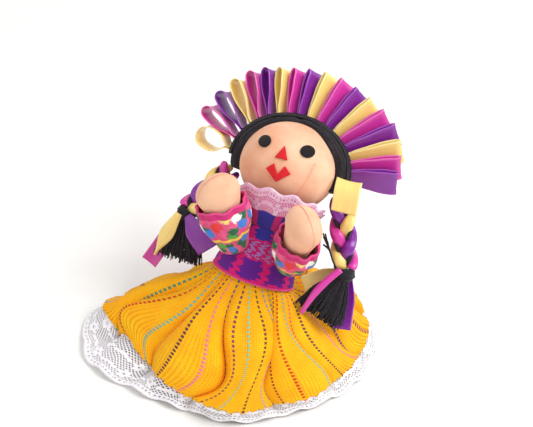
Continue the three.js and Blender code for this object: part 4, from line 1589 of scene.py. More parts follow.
@dataclass
class Limb:
    """A stuffed limb along its own +Z: a round root at the joint, a slim middle and a rounded end."""

    length: float
    root: float
    middle: float
    end: float
    broad: float = 1.0
    slim: float = 1.0
    bearing: float = 0.0
    girth: float = 50.0
    softness: float = 0.012
    stitch: float = 0.35
    stitch_lean: float = 0.6
    stitch_lift: float = 0.05
    stitch_radius: float = 0.08

    def pressed(self, spot: Vector) -> Vector:
        """A place on the limb, pressed from round at its root to a broad end along its seam.

        Args:
            spot: The place on a round limb.

        Returns:
            The pressed place.
        """
        share = smoothstep(spot.z, 0.0, self.length - self.end)
        turn = Matrix.Rotation(self.bearing, 3, "Z")
        flat = turn.transposed() @ spot
        broad, slim = lerp(1, self.broad, share), lerp(1, self.slim, share)
        return turn @ Vector((flat.x * broad, flat.y * slim, flat.z))

    def outline(self, steps: int = 16) -> list[tuple[float, float]]:
        """The limb's radius and height from the root's pole to the end's pole.

        Args:
            steps: Steps in each of its three stretches.

        Returns:
            Pairs of radius and height.
        """
        belly = self.length - self.end
        bow = 2 * self.middle - (self.root + self.end) / 2
        shares = [i / steps for i in range(steps + 1)]
        quarter = [pi / 2 * share for share in shares]
        start = [(self.root * sin(a), -self.root * cos(a)) for a in quarter]
        finish = [(self.end * cos(a), belly + self.end * sin(a)) for a in quarter]
        radii = [self.root * (1 - t) ** 2 + 2 * bow * t * (1 - t) + self.end * t**2 for t in shares]
        return start + [(radius, belly * t) for radius, t in zip(radii, shares)][1:-1] + finish

    def build(self, wardrobe: Wardrobe, side: Side, kind: str, tip: str, place: Matrix, first: int) -> None:
        """Makes the stuffed skin and the stitches over its end.

        Args:
            wardrobe: The finishes.
            side: The doll's side that the limb is on.
            kind: The limb's word in the names of nodes and bodies.
            tip: The word for its end.
            place: The limb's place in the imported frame.
            first: The outline's step that the stitches start at.
        """
        body = f"{side.label}_{kind}"
        skin = self._skin(f"{side.label}_stuffed_{kind}", place)
        carried(skin, body, wardrobe.skin, [f"{body}_skin", f"{body}_stuffing"])
        seam = thread_piece(f"{side.label}_{tip}_seam", self._stitches(place, first), self.stitch_radius)
        carried(seam, body, wardrobe.seam)

    def _skin(self, name: str, axes: Matrix) -> Piece:
        """The limb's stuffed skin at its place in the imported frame.

        Args:
            name: Its name.
            axes: The limb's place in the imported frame.

        Returns:
            The piece.
        """
        outline = self.outline()
        rows = len(outline) - 1

        def place(across: float, along: float) -> Vector:
            """The skin at shares round and along.

            Args:
                across: The share round.
                along: The share along.

            Returns:
                The point.
            """
            radius, height = outline[round(along * rows)]
            angle = TURN * across
            soft = 1 + self.softness * sin(3 * angle + height * 0.3)
            return axes @ self.pressed(around(radius * soft, angle, height))

        chart = flat_chart(self.girth, self.length * 1.4)
        return piece_from(name, outward(laid_sheet(48, rows, place, chart, closed=True)))

    def _stitches(self, axes: Matrix, first: int) -> list[list[Vector]]:
        """Small stitches up one side of the limb, over its end and down the other side.

        Args:
            axes: The limb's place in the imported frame.
            first: The outline's step that they start at.

        Returns:
            Each stitch's two ends.
        """
        outline = self.outline()[first:]
        path = outline + [(-radius, height) for radius, height in outline[::-1]]
        turn = Matrix.Rotation(self.bearing, 3, "Z")
        lines = []
        for (reach, rise), (next_reach, next_rise) in zip(path, path[1:]):
            for share in (0.0, 0.5):
                along = lerp(reach, next_reach, share)
                height = lerp(rise, next_rise, share) + self.stitch_lift
                ends = [(along + self.stitch_lean * a, a, height) for a in (-self.stitch, self.stitch)]
                lines.append([axes @ self.pressed(turn @ Vector(spot)) for spot in ends])
        return lines


@dataclass
class Arm(Assembly):
    """An arm with its loose printed sleeve."""

    torso: Torso
    side: Side
    heading: float
    reach: tuple[float, float, float]
    limb: Limb
    sleeve_finish: float
    joint_height: float = 52.0
    sink: float = 1.4
    sleeve_root: float = -2.0
    sleeve_radius: float = 10.8
    sleeve_cloth: float = 0.7
    sleeve_girth: float = 70.0
    sewn_length: float = 9.0
    draw_in: float = 0.9
    pleat_depth: float = 1.1
    cuff_slant: float = 1.4
    cuff_wave: float = 0.5
    cuff: float = 0.6

    def frame(self) -> Matrix:
        """The arm's axes at its joint.

        Returns:
            The axes.
        """
        socket = self.torso.edge(self.joint_height, self.heading, self.limb.root + CLEARANCE - self.sink)
        turn = UP.rotation_difference(Vector(self.reach).normalized()).to_matrix().to_4x4()
        return self.torso.frame(self.joint_height) @ Matrix.Translation(socket) @ turn

    def build(self) -> None:
        """Makes the stuffed arm, its seam and its sleeve with a bound cuff."""
        self.limb.build(self.wardrobe, self.side, "arm", "hand", self.frame(), 27)
        self._sleeve()

    def _profile(self, share: float) -> tuple[float, float]:
        """The sleeve's radius and height at a share of the way from the armhole to the cuff.

        Args:
            share: The share.

        Returns:
            The radius and the height.
        """
        rise = lerp(self.sleeve_root, self.sleeve_finish, share)
        armhole = sqrt(self.limb.root**2 - min(rise, 0.0) ** 2) + 1.0
        full = lerp(armhole, self.sleeve_radius, smoothstep(rise, self.sleeve_root, 0.6 * self.sleeve_finish))
        return full - self.draw_in * smoothstep(share, 0.7, 1.0), rise

    def _spot(self, across: float, along: float) -> Vector:
        """The sleeve's cloth at shares round and along, in the arm's axes.

        Args:
            across: The share round.
            along: The share along.

        Returns:
            The point.
        """
        angle = TURN * across
        radius, rise = self._profile(along)
        pleat = abs(sin(4.5 * angle + 1.1 * sin(3 * along + angle)))
        radius += self.pleat_depth * (pleat - 0.6) * smoothstep(along, 0.05, 0.5)
        rise += self.cuff_slant * cos(angle - self.heading) * smoothstep(along, 0.5, 1.0)
        rise += self.cuff_wave * sin(6 * angle) * along
        return self.limb.pressed(around(radius, angle, rise))

    def _sleeve(self) -> None:
        """Makes the printed sleeve, sewn at the armhole and open at the hand."""
        axes, label, steps = self.frame(), self.side.label, 72
        length = self.sleeve_finish - self.sleeve_root

        def place(across: float, along: float) -> Vector:
            """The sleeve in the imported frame."""
            return axes @ self._spot(across, along)

        def chart(across: float, along: float) -> Vector:
            """The sleeve laid flat, measured in from its cuff."""
            return Vector((across * self.sleeve_girth, (1 - along) * length, 0))

        mesh = laid_sheet(96, 24, place, chart, closed=True)
        sleeve = piece_from(f"{label}_printed_sleeve", mesh, self.sleeve_cloth)
        rises = (self.sleeve_root, self.sleeve_root + self.sewn_length)
        start, finish = (axes @ (UP * rise) for rise in rises)
        start * MM
        finish * MM
        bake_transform(sleeve)
        dressed(sleeve, self.wardrobe.sleeve, [f"{label}_sleeve"])
        ring = [place(i / steps, 1.0) for i in range(steps)]
        cuff = thread_piece(f"{label}_cuff_edge", [ring], self.cuff, looped=True)
        carried(cuff, f"{label}_arm", self.wardrobe.pink_edge)


@dataclass
class Leg(Assembly):
    """A leg that lies out from the hip under the skirt."""

    side: Side
    limb: Limb = field(default_factory=lambda: Limb(27.0, 8.0, 8.0, 8.0, bearing=pi / 2))
    hip: tuple[float, float, float] = (10.5, -19.07, 8.3)
    splay: float = radians(22)

    def build(self) -> None:
        """Makes the stuffed leg and its seam."""
        sign = self.side.value
        socket = Matrix.Translation(Vector((sign * self.hip[0], *self.hip[1:])))
        turn = Matrix.Rotation(sign * self.splay, 4, "Z") @ Matrix.Rotation(pi / 2, 4, "X")
        self.limb.build(self.wardrobe, self.side, "leg", "foot", socket @ turn, 24)


@dataclass
class Head(Assembly):
    """The stuffed head on its neck, with a felt face and yarn hair."""

    torso: Torso
    width: float = 48.0
    depth: float = 46.0
    height: float = 44.0
    skin_chart: tuple[float, float] = (69.0, 150.0)
    cheek: float = 0.012
    cheek_level: float = -0.3
    cheek_spread: float = sqrt(0.1)
    turn: float = radians(-18)
    tilt: float = radians(9)
    lean: float = radians(7)
    neck_length: float = 2.2
    neck_dome: float = 8.2
    neck_room: float = 0.5
    felt: float = 0.7
    felt_lift: float = 0.15
    felt_roll: float = 0.2
    eye_size: tuple[float, float] = (6.4, 6.0)
    eye_spacing: float = 20.8
    eye_level: float = 7.8
    nose_size: tuple[float, float] = (6.2, 6.5)
    nose_level: float = 1.3
    mouth_size: tuple[float, float] = (12.0, 8.0)
    mouth_level: float = -9.4
    lip_peak: float = 2.6
    lip_corner: float = 5.0
    lip_notch: float = 3.4
    dart: tuple[tuple[float, float], ...] = ((15.0, 3.0), (13.5, -4.0), (11.0, -11.0), (8.0, -16.0))
    dart_stitch: float = 0.55
    dart_radius: float = 0.14
    hair_top: float = 2.4
    hair_side: float = 5.0
    hair_back: float = 4.0
    hairline: float = -2.5
    fringe: float = 1.8
    side_fringe: float = 4.6
    fringe_at: float = 0.71
    fringe_spread: float = 0.12
    parting: float = 0.3
    parting_width: float = 2.2
    nape: float = -8.0
    yarn_rows: int = 30

    def neck_frame(self) -> Matrix:
        """The axes that the head turns in."""
        return self.torso.frame(self.torso.height) @ Matrix.Rotation(self.turn, 4, "Z")

    def frame(self) -> Matrix:
        """The head's own axes at its middle.

        Returns:
            The axes.
        """
        opening = self.neck_dome + self.neck_room
        rise = self.height / 2 * sqrt(1 - (opening / (self.width / 2)) ** 2)
        nod = Matrix.Rotation(-self.tilt, 4, "X") @ Matrix.Rotation(-self.lean, 4, "Y")
        lift = Matrix.Translation(UP * self.neck_length)
        return self.neck_frame() @ lift @ nod @ Matrix.Translation(UP * rise)

    def half(self, lift: float = 0.0) -> Vector:
        """Half the bare head's width, depth and height, with a lift off its skin."""
        return Vector((self.width / 2 + lift, self.depth / 2 + lift, self.height / 2 + lift))

    def hair_half(self) -> Vector:
        """Half the hair's width, depth and height."""
        return self.half() + Vector((self.hair_side, self.hair_back, self.hair_top))

    def face_point(self, x: float, z: float, lift: float) -> Vector:
        """A place on the face, from straight in front of it.

        Args:
            x: The place across the face.
            z: The place up the face.
            lift: How far off the skin.

        Returns:
            The point.
        """
        size = self.half(lift)
        deep = sqrt(max(0.0, 1 - (x / size.x) ** 2 - (z / size.z) ** 2))
        return self.frame() @ Vector((x, -size.y * deep, z))

    def build(self) -> None:
        """Makes the neck, the head, its face and its hair."""
        self._neck()
        self._ball()
        self._face()
        self._seam()
        self._hair()

    def _neck(self) -> None:
        """Makes the domed neck stub."""
        dome, length, steps = self.neck_dome, self.neck_length, 8
        quarter = [pi / 2 * i / steps for i in range(steps + 1)]
        profile = [(0, CLEARANCE), (dome, CLEARANCE)]
        profile += [(dome * cos(angle), length + dome * sin(angle)) for angle in quarter]
        mesh = bmesh.new()
        verts = [mesh.verts.new(Vector((reach, 0, rise)) * MM) for reach, rise in profile]
        edges = [mesh.edges.new(pair) for pair in zip(verts, verts[1:])]
        sweep = {"cent": MIDDLE, "axis": UP, "angle": TURN, "steps": 40}
        bmesh.ops.spin(mesh, geom=verts + edges, use_merge=True, **sweep)
        bmesh.ops.remove_doubles(mesh, verts=mesh.verts, dist=WELD)
        place = self.neck_frame()
        place.translation *= MM
        bmesh.ops.transform(outward(mesh), matrix=place, verts=mesh.verts)
        neck = piece_from("stuffed_neck", mesh)
        carried(neck, "neck", self.wardrobe.skin, ["neck_stub"])

    def _ball(self) -> None:
        """Makes the stuffed head, a little fuller in the cheeks."""
        mesh = bmesh.new()
        flat = mesh.loops.layers.uv.new("UVMap")
        bmesh.ops.create_uvsphere(mesh, u_segments=96, v_segments=64, radius=1.0, calc_uvs=True)
        over, along = (size / CHART for size in self.skin_chart)
        for face in mesh.faces:
            for loop in face.loops:
                share = loop[flat].uv
                loop[flat].uv = (share.y * over, share.x * along)
        place, half = self.frame(), self.half()
        for vert in mesh.verts:
            x, y, z = vert.co
            full = 1 + self.cheek * bell(z - self.cheek_level, self.cheek_spread) * abs(x)
            vert.co = (place @ Vector((x * half.x * full, y * half.y, z * half.z))) * MM
        nodes = ["head_skin", "head_stuffing"]
        ball = carried(piece_from("stuffed_head", mesh), "head", self.wardrobe.skin, nodes)

    def _felt(self, name: str, mesh: Mesh, slot: str, material: Material, node: str) -> None:
        """Lays a flat felt shape on the face.

        Args:
            name: The piece's name.
            mesh: The shape, flat in X and Z, in millimetres.
            slot: Not used.
            material: Its finish.
            node: The node that it stands for.
        """
        for vert in mesh.verts:
            vert.co = self.face_point(vert.co.x, vert.co.z, self.felt_lift) * MM
        middle = self.frame() @ MIDDLE * MM
        mesh.normal_update()
        inward = [face for face in mesh.faces if face.normal.dot(face.calc_center_median() - middle) < 0]
        bmesh.ops.reverse_faces(mesh, faces=inward)
        patch = carried(piece_from(name, mesh, self.felt, 1.0), "head", material, [node])
        edge = patch.modifiers.new("soft_edge", "BEVEL")
        edge.width = self.felt_roll * MM
        edge.segments = 2
        edge.limit_method = "ANGLE"

    def _face(self) -> None:
        """Makes the felt eyes, nose and mouth."""
        for side in Side:
            mesh = bmesh.new()
            bmesh.ops.create_circle(mesh, cap_ends=True, cap_tris=True, segments=36, radius=1.0)
            bmesh.ops.subdivide_edges(mesh, edges=mesh.edges, cuts=2, use_grid_fill=True)
            middle, (wide, high) = side.value * self.eye_spacing / 2, self.eye_size
            for vert in mesh.verts:
                x, z = middle + vert.co.x * wide / 2, self.eye_level + vert.co.y * high / 2
                vert.co = Vector((x, 0, z))
            name, node = f"{side.label}_felt_eye", f"{side.label}_eye"
            self._felt(name, mesh, "felt_black", self.wardrobe.black_felt, node)
        half, low = self.nose_size[0] / 2, self.nose_level
        nose = [[(0, low + self.nose_size[1]), (half, low), (-half, low)]]
        half, low = self.mouth_size[0] / 2, self.mouth_level
        top, corner, notch = (low + rise for rise in (self.mouth_size[1], self.lip_corner, self.lip_notch))
        peak = self.lip_peak
        lips = [[(0, notch), (sign * peak, top), (sign * half, corner), (0, low)] for sign in (1, -1)]
        for node, outlines in (("nose", nose), ("mouth", lips)):
            self._felt(f"felt_{node}", self._polygons(outlines), "felt_red", self.wardrobe.red_felt, node)

    @staticmethod
    def _polygons(outlines: Sequence[Sequence[tuple[float, float]]]) -> Mesh:
        """Flat faces in X and Z, cut finely enough to bend.

        Args:
            outlines: Each face's corners.

        Returns:
            The mesh.
        """
        mesh = bmesh.new()
        for outline in outlines:
            mesh.faces.new([mesh.verts.new(Vector((x, 0, z))) for x, z in outline])
        bmesh.ops.remove_doubles(mesh, verts=mesh.verts, dist=WELD)
        bmesh.ops.subdivide_edges(mesh, edges=mesh.edges, cuts=7, use_grid_fill=True)
        return mesh

    def _seam(self) -> None:
        """Makes the stitched dart that runs down the left cheek."""
        stitches = []
        for spot in Route([(x, 0, z) for x, z in self.dart]).sampled(20):
            asides = (-self.dart_stitch, self.dart_stitch)
            stitches.append([self.face_point(spot.x + a, spot.z + 0.35 * a, 0.05) for a in asides])
        seam = thread_piece("cheek_seam", stitches, self.dart_radius)
        carried(seam, "head", self.wardrobe.seam)

    def _hair(self) -> None:
        """Makes the cap of yarn, laid in rows from the parting down to each ear."""
        inner, outer, place_of = self.half(), self.hair_half(), self.frame()

        def place(across: float, along: float) -> Vector:
            """The yarn's surface at shares over the head and from the hairline to the back.

            Args:
                across: The share round.
                along: The share along.

            Returns:
                The point.
            """
            fringe = self.fringe + self.side_fringe * bell(across - self.fringe_at, self.fringe_spread)
            first = asin((self.hairline - fringe) / outer.y)
            back = lerp(first, pi / 2 - 0.004, along)
            ring = cos(back)
            low = self.nape / (outer.z * ring)
            limit = pi if low <= -1 else acos(low)
            over = lerp(-limit, limit, across)
            from_front = (back - first) * outer.y
            from_nape = (limit - abs(over)) * outer.x * ring
            closing = smoothstep(limit, 0.86 * pi, pi)
            puff = rounded(from_front / 3.0) * lerp(rounded(from_nape / 3.5), 1.0, closing)
            parted = 1 - self.parting * bell(over * outer.x, self.parting_width)
            strand = abs(sin(pi * self.yarn_rows * along + 0.5 * sin(5 * over)))
            lift = 0.2 + (0.9 * strand - 0.8) * puff
            x, y, z = (size + lift for size in inner.lerp(outer, puff * parted))
            return place_of @ Vector((x * sin(over) * ring, y * sin(back), z * cos(over) * ring))

        mesh = laid_sheet(120, self.yarn_rows * 7, place, flat_chart(120.0, 46.0), closed=True)
        carried(piece_from("yarn_hair", outward(mesh)), "head", self.wardrobe.yarn, ["hair_cap"])


@dataclass
class Headdress(Assembly):
    """The band over the hair, its fan of ribbon loops and the flap over the left ear."""

    head: Head
    band_width: float = 9.0
    band_length: float = 90.0
    band_thickness: float = 1.2
    band_span: float = radians(182)
    band_cords: int = 6
    cord_height: float = 0.7
    count: int = 18
    span: float = radians(168)
    length: float = 22.0
    extra: float = 3.5
    first_length: float = 18.0
    first_bulge: float = 1.7
    lean: float = radians(16)
    leaning: float = 0.2
    lean_spread: float = 0.22
    longest: float = 0.82
    long_spread: float = 0.2
    crowding: float = 0.9
    open_width: float = 6.6
    closed_width: float = 2.7
    open_slant: float = radians(17)
    closed_slant: float = radians(52)
    slant_from: float = 0.1
    slant_to: float = 0.6
    bend: tuple[tuple[float, float], ...] = ((0.94, 0.5), (1, 0.76), (0.78, 0.94))
    first_bend: tuple[tuple[float, float], ...] = ((0.8, 0.34), (1, 0.62), (0.74, 0.9))
    pinch: float = RIBBON_THICKNESS + CLEARANCE
    pinch_rise: float = 0.12
    gathered: float = 0.62
    sewn_share: float = 0.4
    flap_length: float = 15.0
    flap_forward: float = 7.0
    flap_rise: float = 1.0
    flap_flare: float = 2.0

    def place(self, angle: float, lift: float) -> Vector:
        """A place on the band's outer face, from the top towards the doll's left, in the head's axes.

        Args:
            angle: The heading over the head.
            lift: How far off the band.

        Returns:
            The point.
        """
        size = self.head.hair_half() + Vector((1, 1, 1)) * (CLEARANCE + self.band_thickness + lift)
        middle = self.head.hairline + self.band_width / 2
        return Vector((sin(angle) * size.x, middle, cos(angle) * size.z))

    def height_over(self, spot: Vector) -> float:
        """How far a place in the head's axes lies above the band.

        Args:
            spot: The place.

        Returns:
            The height.
        """
        size = self.head.hair_half()
        ring = sqrt(1 - (spot.y / size.y) ** 2)
        lift = CLEARANCE + self.band_thickness
        across, up = (size.x + lift) * ring, (size.z + lift) * ring
        return (hypot(spot.x / across, spot.z / up) - 1) * (across + up) / 2

    def build(self) -> None:
        """Makes the band, the loops and the flap."""
        self._band()
        for number in range(self.count):
            self._loop(number)
        self._flap()

    def _band(self) -> None:
        """Makes the twisted yarn band that the loops are sewn to."""
        axes, size = self.head.frame(), self.head.hair_half()

        def place(across: float, along: float) -> Vector:
            """The band's yarn at shares across and from ear to ear.

            Args:
                across: The share round.
                along: The share along.

            Returns:
                The point.
            """
            angle = lerp(-self.band_span / 2, self.band_span / 2, along)
            y = self.head.hairline + across * self.band_width
            ring = sqrt(1 - (y / size.y) ** 2)
            cord = abs(sin(pi * self.band_cords * across + 0.3 * sin(9 * angle)))
            lift = CLEARANCE + self.band_thickness * smoothstep(min(across, 1 - across), 0.0, 0.3)
            lift += self.cord_height * cord
            x, z = (size.x + lift) * sin(angle) * ring, (size.z + lift) * cos(angle) * ring
            return axes @ Vector((x, y, z))

        def chart(across: float, along: float) -> Vector:
            """The band laid flat, with its length across the chart."""
            return Vector((along * self.band_length, across * self.band_width, 0))

        band = piece_from("yarn_band", laid_sheet(36, 240, place, chart), RIBBON_THICKNESS)
        carried(band, "head", self.wardrobe.yarn, ["headdress_band"])

    def _outline(self, number: int, width: float, length: float) -> list[tuple[float, float]]:
        """A loop's line, as its places aside and its rises from one foot to the other.

        Args:
            number: The loop's number from 0.
            width: Its width.
            length: Its length.

        Returns:
            Pairs of place aside and rise.
        """
        bend, bulge = (self.bend, 1.0) if number else (self.first_bend, self.first_bulge)
        sides = [(aside * bulge * width / 2, rise * length) for aside, rise in bend]
        right = [(self.pinch, 0), (self.pinch, self.pinch_rise * length), *sides]
        return [(-aside, rise) for aside, rise in right] + [(0, length)] + right[::-1]

    def _loop(self, number: int) -> None:
        """Makes one ribbon loop, pinched where it is sewn down.

        Args:
            number: The loop's number from 0.
        """
        share = number / (self.count - 1)
        angle = (share**self.crowding - 0.5) * self.span
        closing = smoothstep(share, self.slant_from, self.slant_to)
        slant = lerp(self.open_slant, self.closed_slant, closing)
        full = self.length + self.extra * bell(share - self.longest, self.long_spread)
        length = (full if number else self.first_length) * (1 + 0.03 * sin(5.1 * number))
        lean = self.lean * bell(share - self.leaning, self.lean_spread)
        out = Vector((sin(angle + lean), 0, cos(angle + lean)))
        spine = Quaternion(out, -slant) @ Vector((0, 1, 0))
        thick = spine.cross(out)
        low_edge = RIBBON_WIDTH / 2 * sin(slant) + self.pinch + RIBBON_THICKNESS / 2
        foot = self.place(angle, CLEARANCE + low_edge * sin(lean))
        outline = self._outline(number, lerp(self.open_width, self.closed_width, closing), length)
        axes = self.head.frame()
        line = [axes @ (foot + thick * aside + out * rise) for aside, rise in outline]
        points = Route(line).sampled(64)
        across = [axes.to_3x3() @ spine] * len(points)

        def breadth(along: float) -> float:
            """The ribbon's width, gathered at both ends."""
            return RIBBON_WIDTH * lerp(self.gathered, 1.0, smoothstep(min(along, 1 - along), 0.0, 0.3))

        mesh = ribbon_sheet(points, across, breadth, -0.5)
        back = axes.inverted()
        for vert in mesh.verts:
            spot = back @ (vert.co / MM) - foot
            aside = max(-self.pinch, min(self.pinch, spot.dot(thick)))
            base = foot + spine * spot.dot(spine) + thick * aside
            sink = max(0.0, self.height_over(base) - CLEARANCE - RIBBON_THICKNESS)
            sink *= 1 - smoothstep(spot.dot(out), 0.0, self.sewn_share * length)
            vert.co -= axes.to_3x3() @ out * (sink * MM)
        ribbon, name = list(Ribbon)[number % len(Ribbon)], f"{number + 1:02d}"
        loop = piece_from(f"ribbon_loop_{name}", mesh, RIBBON_THICKNESS)
        carried(loop, "head", self.wardrobe.satin[ribbon], [f"headdress_loop_{name}"])
        flat = (RIBBON_WIDTH * MM, line_length(points) * MM)

    def _flap(self) -> None:
        """Makes the ribbon end that hangs over the left ear."""
        top = self.place(self.band_span / 2, CLEARANCE + 0.25)
        top.y = self.head.hairline - CLEARANCE
        flare, forward, length = self.flap_flare, self.flap_forward, self.flap_length
        steps = [
            (0.0, 0.0, 0.0),
            (flare / 4, -forward / 2, self.flap_rise),
            (flare / 2, -forward, -length / 4),
            (flare, -forward, -length),
        ]
        axes = self.head.frame()
        points = Route([axes @ (top + Vector(step)) for step in steps]).sampled(40)
        across = [axes.to_3x3() @ Vector((1, 0, 0))] * len(points)
        mesh = ribbon_sheet(points, across, lambda along: RIBBON_WIDTH, -0.6)
        flap = piece_from("ribbon_flap", mesh, RIBBON_THICKNESS)
        carried(flap, "head", self.wardrobe.satin[Ribbon.GOLD], ["ear_flap"])
        flat = (RIBBON_WIDTH * MM, line_length(points) * MM)


@dataclass(frozen=True)
class Tail:
    """A ribbon's free end below the tie: its face of the tassel, its lean and its length."""

    ribbon: Ribbon
    face: int
    lean: float
    length: float
    width: float
    tip: float = 1.0
    bow: float = 0.0


@dataclass
class Plait(Assembly):
    """A plait of ribbon and yarn with its tie, tassel and ribbon tails."""

    head: Head
    side: Side
    splay: float
    tuck: float
    tassel_turn: float
    tassel_fall: float
    tails: tuple[Tail, ...]
    thread_ends: bool
    length: float
    turns: float = 1.0
    root_depth: float = 4.0
    strand_swing: float = 4.2
    strand_depth: float = 3.0
    strand_radius: float = 2.0
    strand_end: float = 1.2
    half_width: float = 2.9
    half_thickness: float = 1.9
    crossing_width: float = 0.35
    crossing_thickness: float = 0.3
    core_radius: float = 0.9
    core_from: float = 2.5
    overrun: float = 0.5
    tie_radius: float = 4.6
    tie_wrap: float = 2.0
    tie_wraps: int = 4
    tie_thread: float = 0.85
    tie_low: float = -1.8
    knot_depth: float = 2.2
    knot_arc: float = 1.45
    knot_turns: int = 5
    loose_count: int = 9
    loose_radius: float = 0.4
    tassel_length: float = 25.0
    tassel_width: float = 25.0
    tassel_thickness: float = 7.0
    tassel_root: tuple[float, float, float] = (3.2, 2.6, -1.5)
    yarn_count: int = 260
    yarn_radius: float = 0.3
    yarn_steps: int = 8
    tail_pinch: float = 3.0
    tail_aside: float = radians(30)
    tail_spread: float = 2.5
    narrow: float = 10.0

    def frame(self) -> Matrix:
        """The plait's axes at its root beside the hair.

        Returns:
            The axes.
        """
        head, sign = self.head, self.side.value
        bare, hair = head.half(), head.hair_half()
        edge, hair_edge = (half.x * sqrt(1 - (head.nape / half.z) ** 2) for half in (bare, hair))
        root = max(edge + CLEARANCE + self.strand_swing + self.strand_radius, hair_edge)
        spot = Vector((sign * root, self.root_depth, head.nape - CLEARANCE + self.tuck))
        return head.frame() @ Matrix.Translation(spot) @ Matrix.Rotation(-sign * self.splay, 4, "Y")

    def tie_frame(self) -> Matrix:
        """The plait's axes at the tie's middle."""
        return self.frame() @ Matrix.Translation(UP * (-self.length - CLEARANCE - self.tie_wrap))

    def end_frame(self) -> Matrix:
        """The axes of the tassel and tails at the tie."""
        turn = Matrix.Rotation(self.side.value * self.tassel_turn, 4, "Y")
        return self.tie_frame() @ turn @ Matrix.Rotation(self.tassel_fall, 4, "X")

    def build(self) -> None:
        """Makes the strands, the tie, the tassel and the tails."""
        for order, ribbon in enumerate(Ribbon):
            self._strand(order, ribbon)
        self._core()
        self._tie()
        self._tassel()
        for tail in self.tails:
            self._tail(tail)

    def _carry(self, piece: Piece, slot: str, material: Material, *nodes: str) -> None:
        """Rides a piece on the plait."""
        carried(piece, f"{self.side.label}_plait", material, nodes)

    def _strand_point(self, order: float, depth: float) -> Vector:
        """The middle of a strand at a depth below the root.

        Args:
            order: The strand's number, or a half for the yarn between two.
            depth: The depth.

        Returns:
            The point.
        """
        turn = TURN * (self.turns * depth / self.length + order / 3)
        aside = self.side.value * self.strand_swing * sin(turn)
        return Vector((aside, self.strand_depth * sin(2 * turn), -depth))

    def _strand_line(self, order: float, first: float, steps: int) -> list[Vector]:
        """A strand's middle from a first depth to just past the plait's end."""
        axes, last = self.frame(), self.length + self.overrun
        return [axes @ self._strand_point(order, lerp(first, last, i / steps)) for i in range(steps + 1)]

    def _strand(self, order: int, ribbon: Ribbon) -> None:
        """Makes one ribbon-wound strand.

        Args:
            order: The strand's number from 0.
            ribbon: Its ribbon.
        """
        points = self._strand_line(order, 0.0, 72)
        flat = self.frame().to_3x3() @ Vector((0, 1, 0))
        across = [(after - before).cross(flat).normalized() for before, after in zip(points, points[1:])]
        across.append(across[-1])

        def size(along: float) -> tuple[float, float]:
            """Half the strand's width and thickness, drawn in at both ends and fuller where it crosses.

            Args:
                along: The share along.

            Returns:
                Both halves.
            """
            pull = rounded(min(along / 0.36, (1 - along) / 0.07))
            crossing = cos(2 * TURN * (self.turns * along + order / 3))
            wide = self.half_width + self.crossing_width * crossing
            thick = self.half_thickness + self.crossing_thickness * crossing
            return lerp(self.strand_end, wide, pull), lerp(self.strand_end, thick, pull)

        label = self.side.label
        strand = piece_from(f"{label}_{ribbon.value}_strand", drawn_tube(points, across, size))
        self._carry(strand, ribbon.slot, self.wardrobe.satin[ribbon], f"{label}_plait_{ribbon.value}_strand")

    def _core(self) -> None:
        """Makes the yarn that shows between the ribbons."""
        lines = [self._strand_line(order, self.core_from, 48) for order in (0.5, 1.5, 2.5)]
        core = thread_piece(f"{self.side.label}_plait_yarn", lines, self.core_radius)
        self._carry(core, "yarn", self.wardrobe.yarn)

    def _tie(self) -> None:
        """Makes the wound tie over a rounded knot."""
        axes, label, steps = self.tie_frame(), self.side.label, 40 * self.tie_wraps
        wound = []
        for share in (i / steps for i in range(steps + 1)):
            rise = lerp(self.tie_low, self.tie_wrap - 0.5, share)
            wound.append(axes @ around(self.tie_radius - 0.4, TURN * self.tie_wraps * share, rise))
        knot, steps = [], 120
        for share in (i / steps for i in range(steps + 1)):
            reach = (self.tie_radius - 1.0) * cos(share * self.knot_arc)
            rise = self.tie_low - self.knot_depth * sin(share * self.knot_arc)
            knot.append(axes @ around(reach, TURN * self.knot_turns * share, rise))
        tie = thread_piece(f"{label}_wound_tie", [wound, knot], self.tie_thread)
        self._carry(tie, "yarn", self.wardrobe.yarn, f"{label}_plait_tie")
        if self.thread_ends:
            self._thread_ends()

    def _thread_ends(self) -> None:
        """Makes the loose ends of the tie's thread."""
        draw, axes = random.Random(11), self.tie_frame()
        lines = []
        for _ in range(self.loose_count):
            sweep = draw.uniform(-0.08, 0.08)
            tip = (-8.0 + 18 * sweep, -6.0 + draw.uniform(-1, 1), 17.0 + draw.uniform(-3, 3))
            route = Route([(-3.0, -3.2, 0), (-5.0, -5.0, 6.0), (-6.5, -6.0, 12.0 + 8 * sweep), tip])
            lines.append([axes @ point for point in route.sampled(14)])
        ends = thread_piece(f"{self.side.label}_thread_ends", lines, self.loose_radius)
        self._carry(ends, "yarn", self.wardrobe.yarn)

    def _tassel(self) -> None:
        """Makes the fan of cut yarn below the tie."""
        draw = random.Random(5 + self.side.value)
        axes, label = self.end_frame(), self.side.label
        root_wide, root_deep, top = self.tassel_root
        lines = []
        for _ in range(self.yarn_count):
            angle = draw.uniform(0, TURN)
            spread = sqrt(draw.uniform(0.02, 1.0))
            across, deep = spread * cos(angle), spread * sin(angle)
            length = self.tassel_length * draw.uniform(0.84, 1.04)
            bow, curl = draw.uniform(-0.8, 0.8), draw.uniform(-1.3, 1.3)
            line = []
            for share in (i / self.yarn_steps for i in range(self.yarn_steps + 1)):
                fan = smoothstep(share, -0.15, 1.0)
                x = across * lerp(root_wide, self.tassel_width / 2, fan)
                x += bow * sin(pi * share) + curl * share**3
                y = deep * lerp(root_deep, self.tassel_thickness / 2, fan) + 0.4 * bow * sin(TURN * share)
                line.append(axes @ Vector((x, y, lerp(top, -length, share))))
            lines.append(line)
        tassel = thread_piece(f"{label}_yarn_tassel", lines, self.yarn_radius)
        self._carry(tassel, "yarn", self.wardrobe.yarn, f"{label}_tassel")

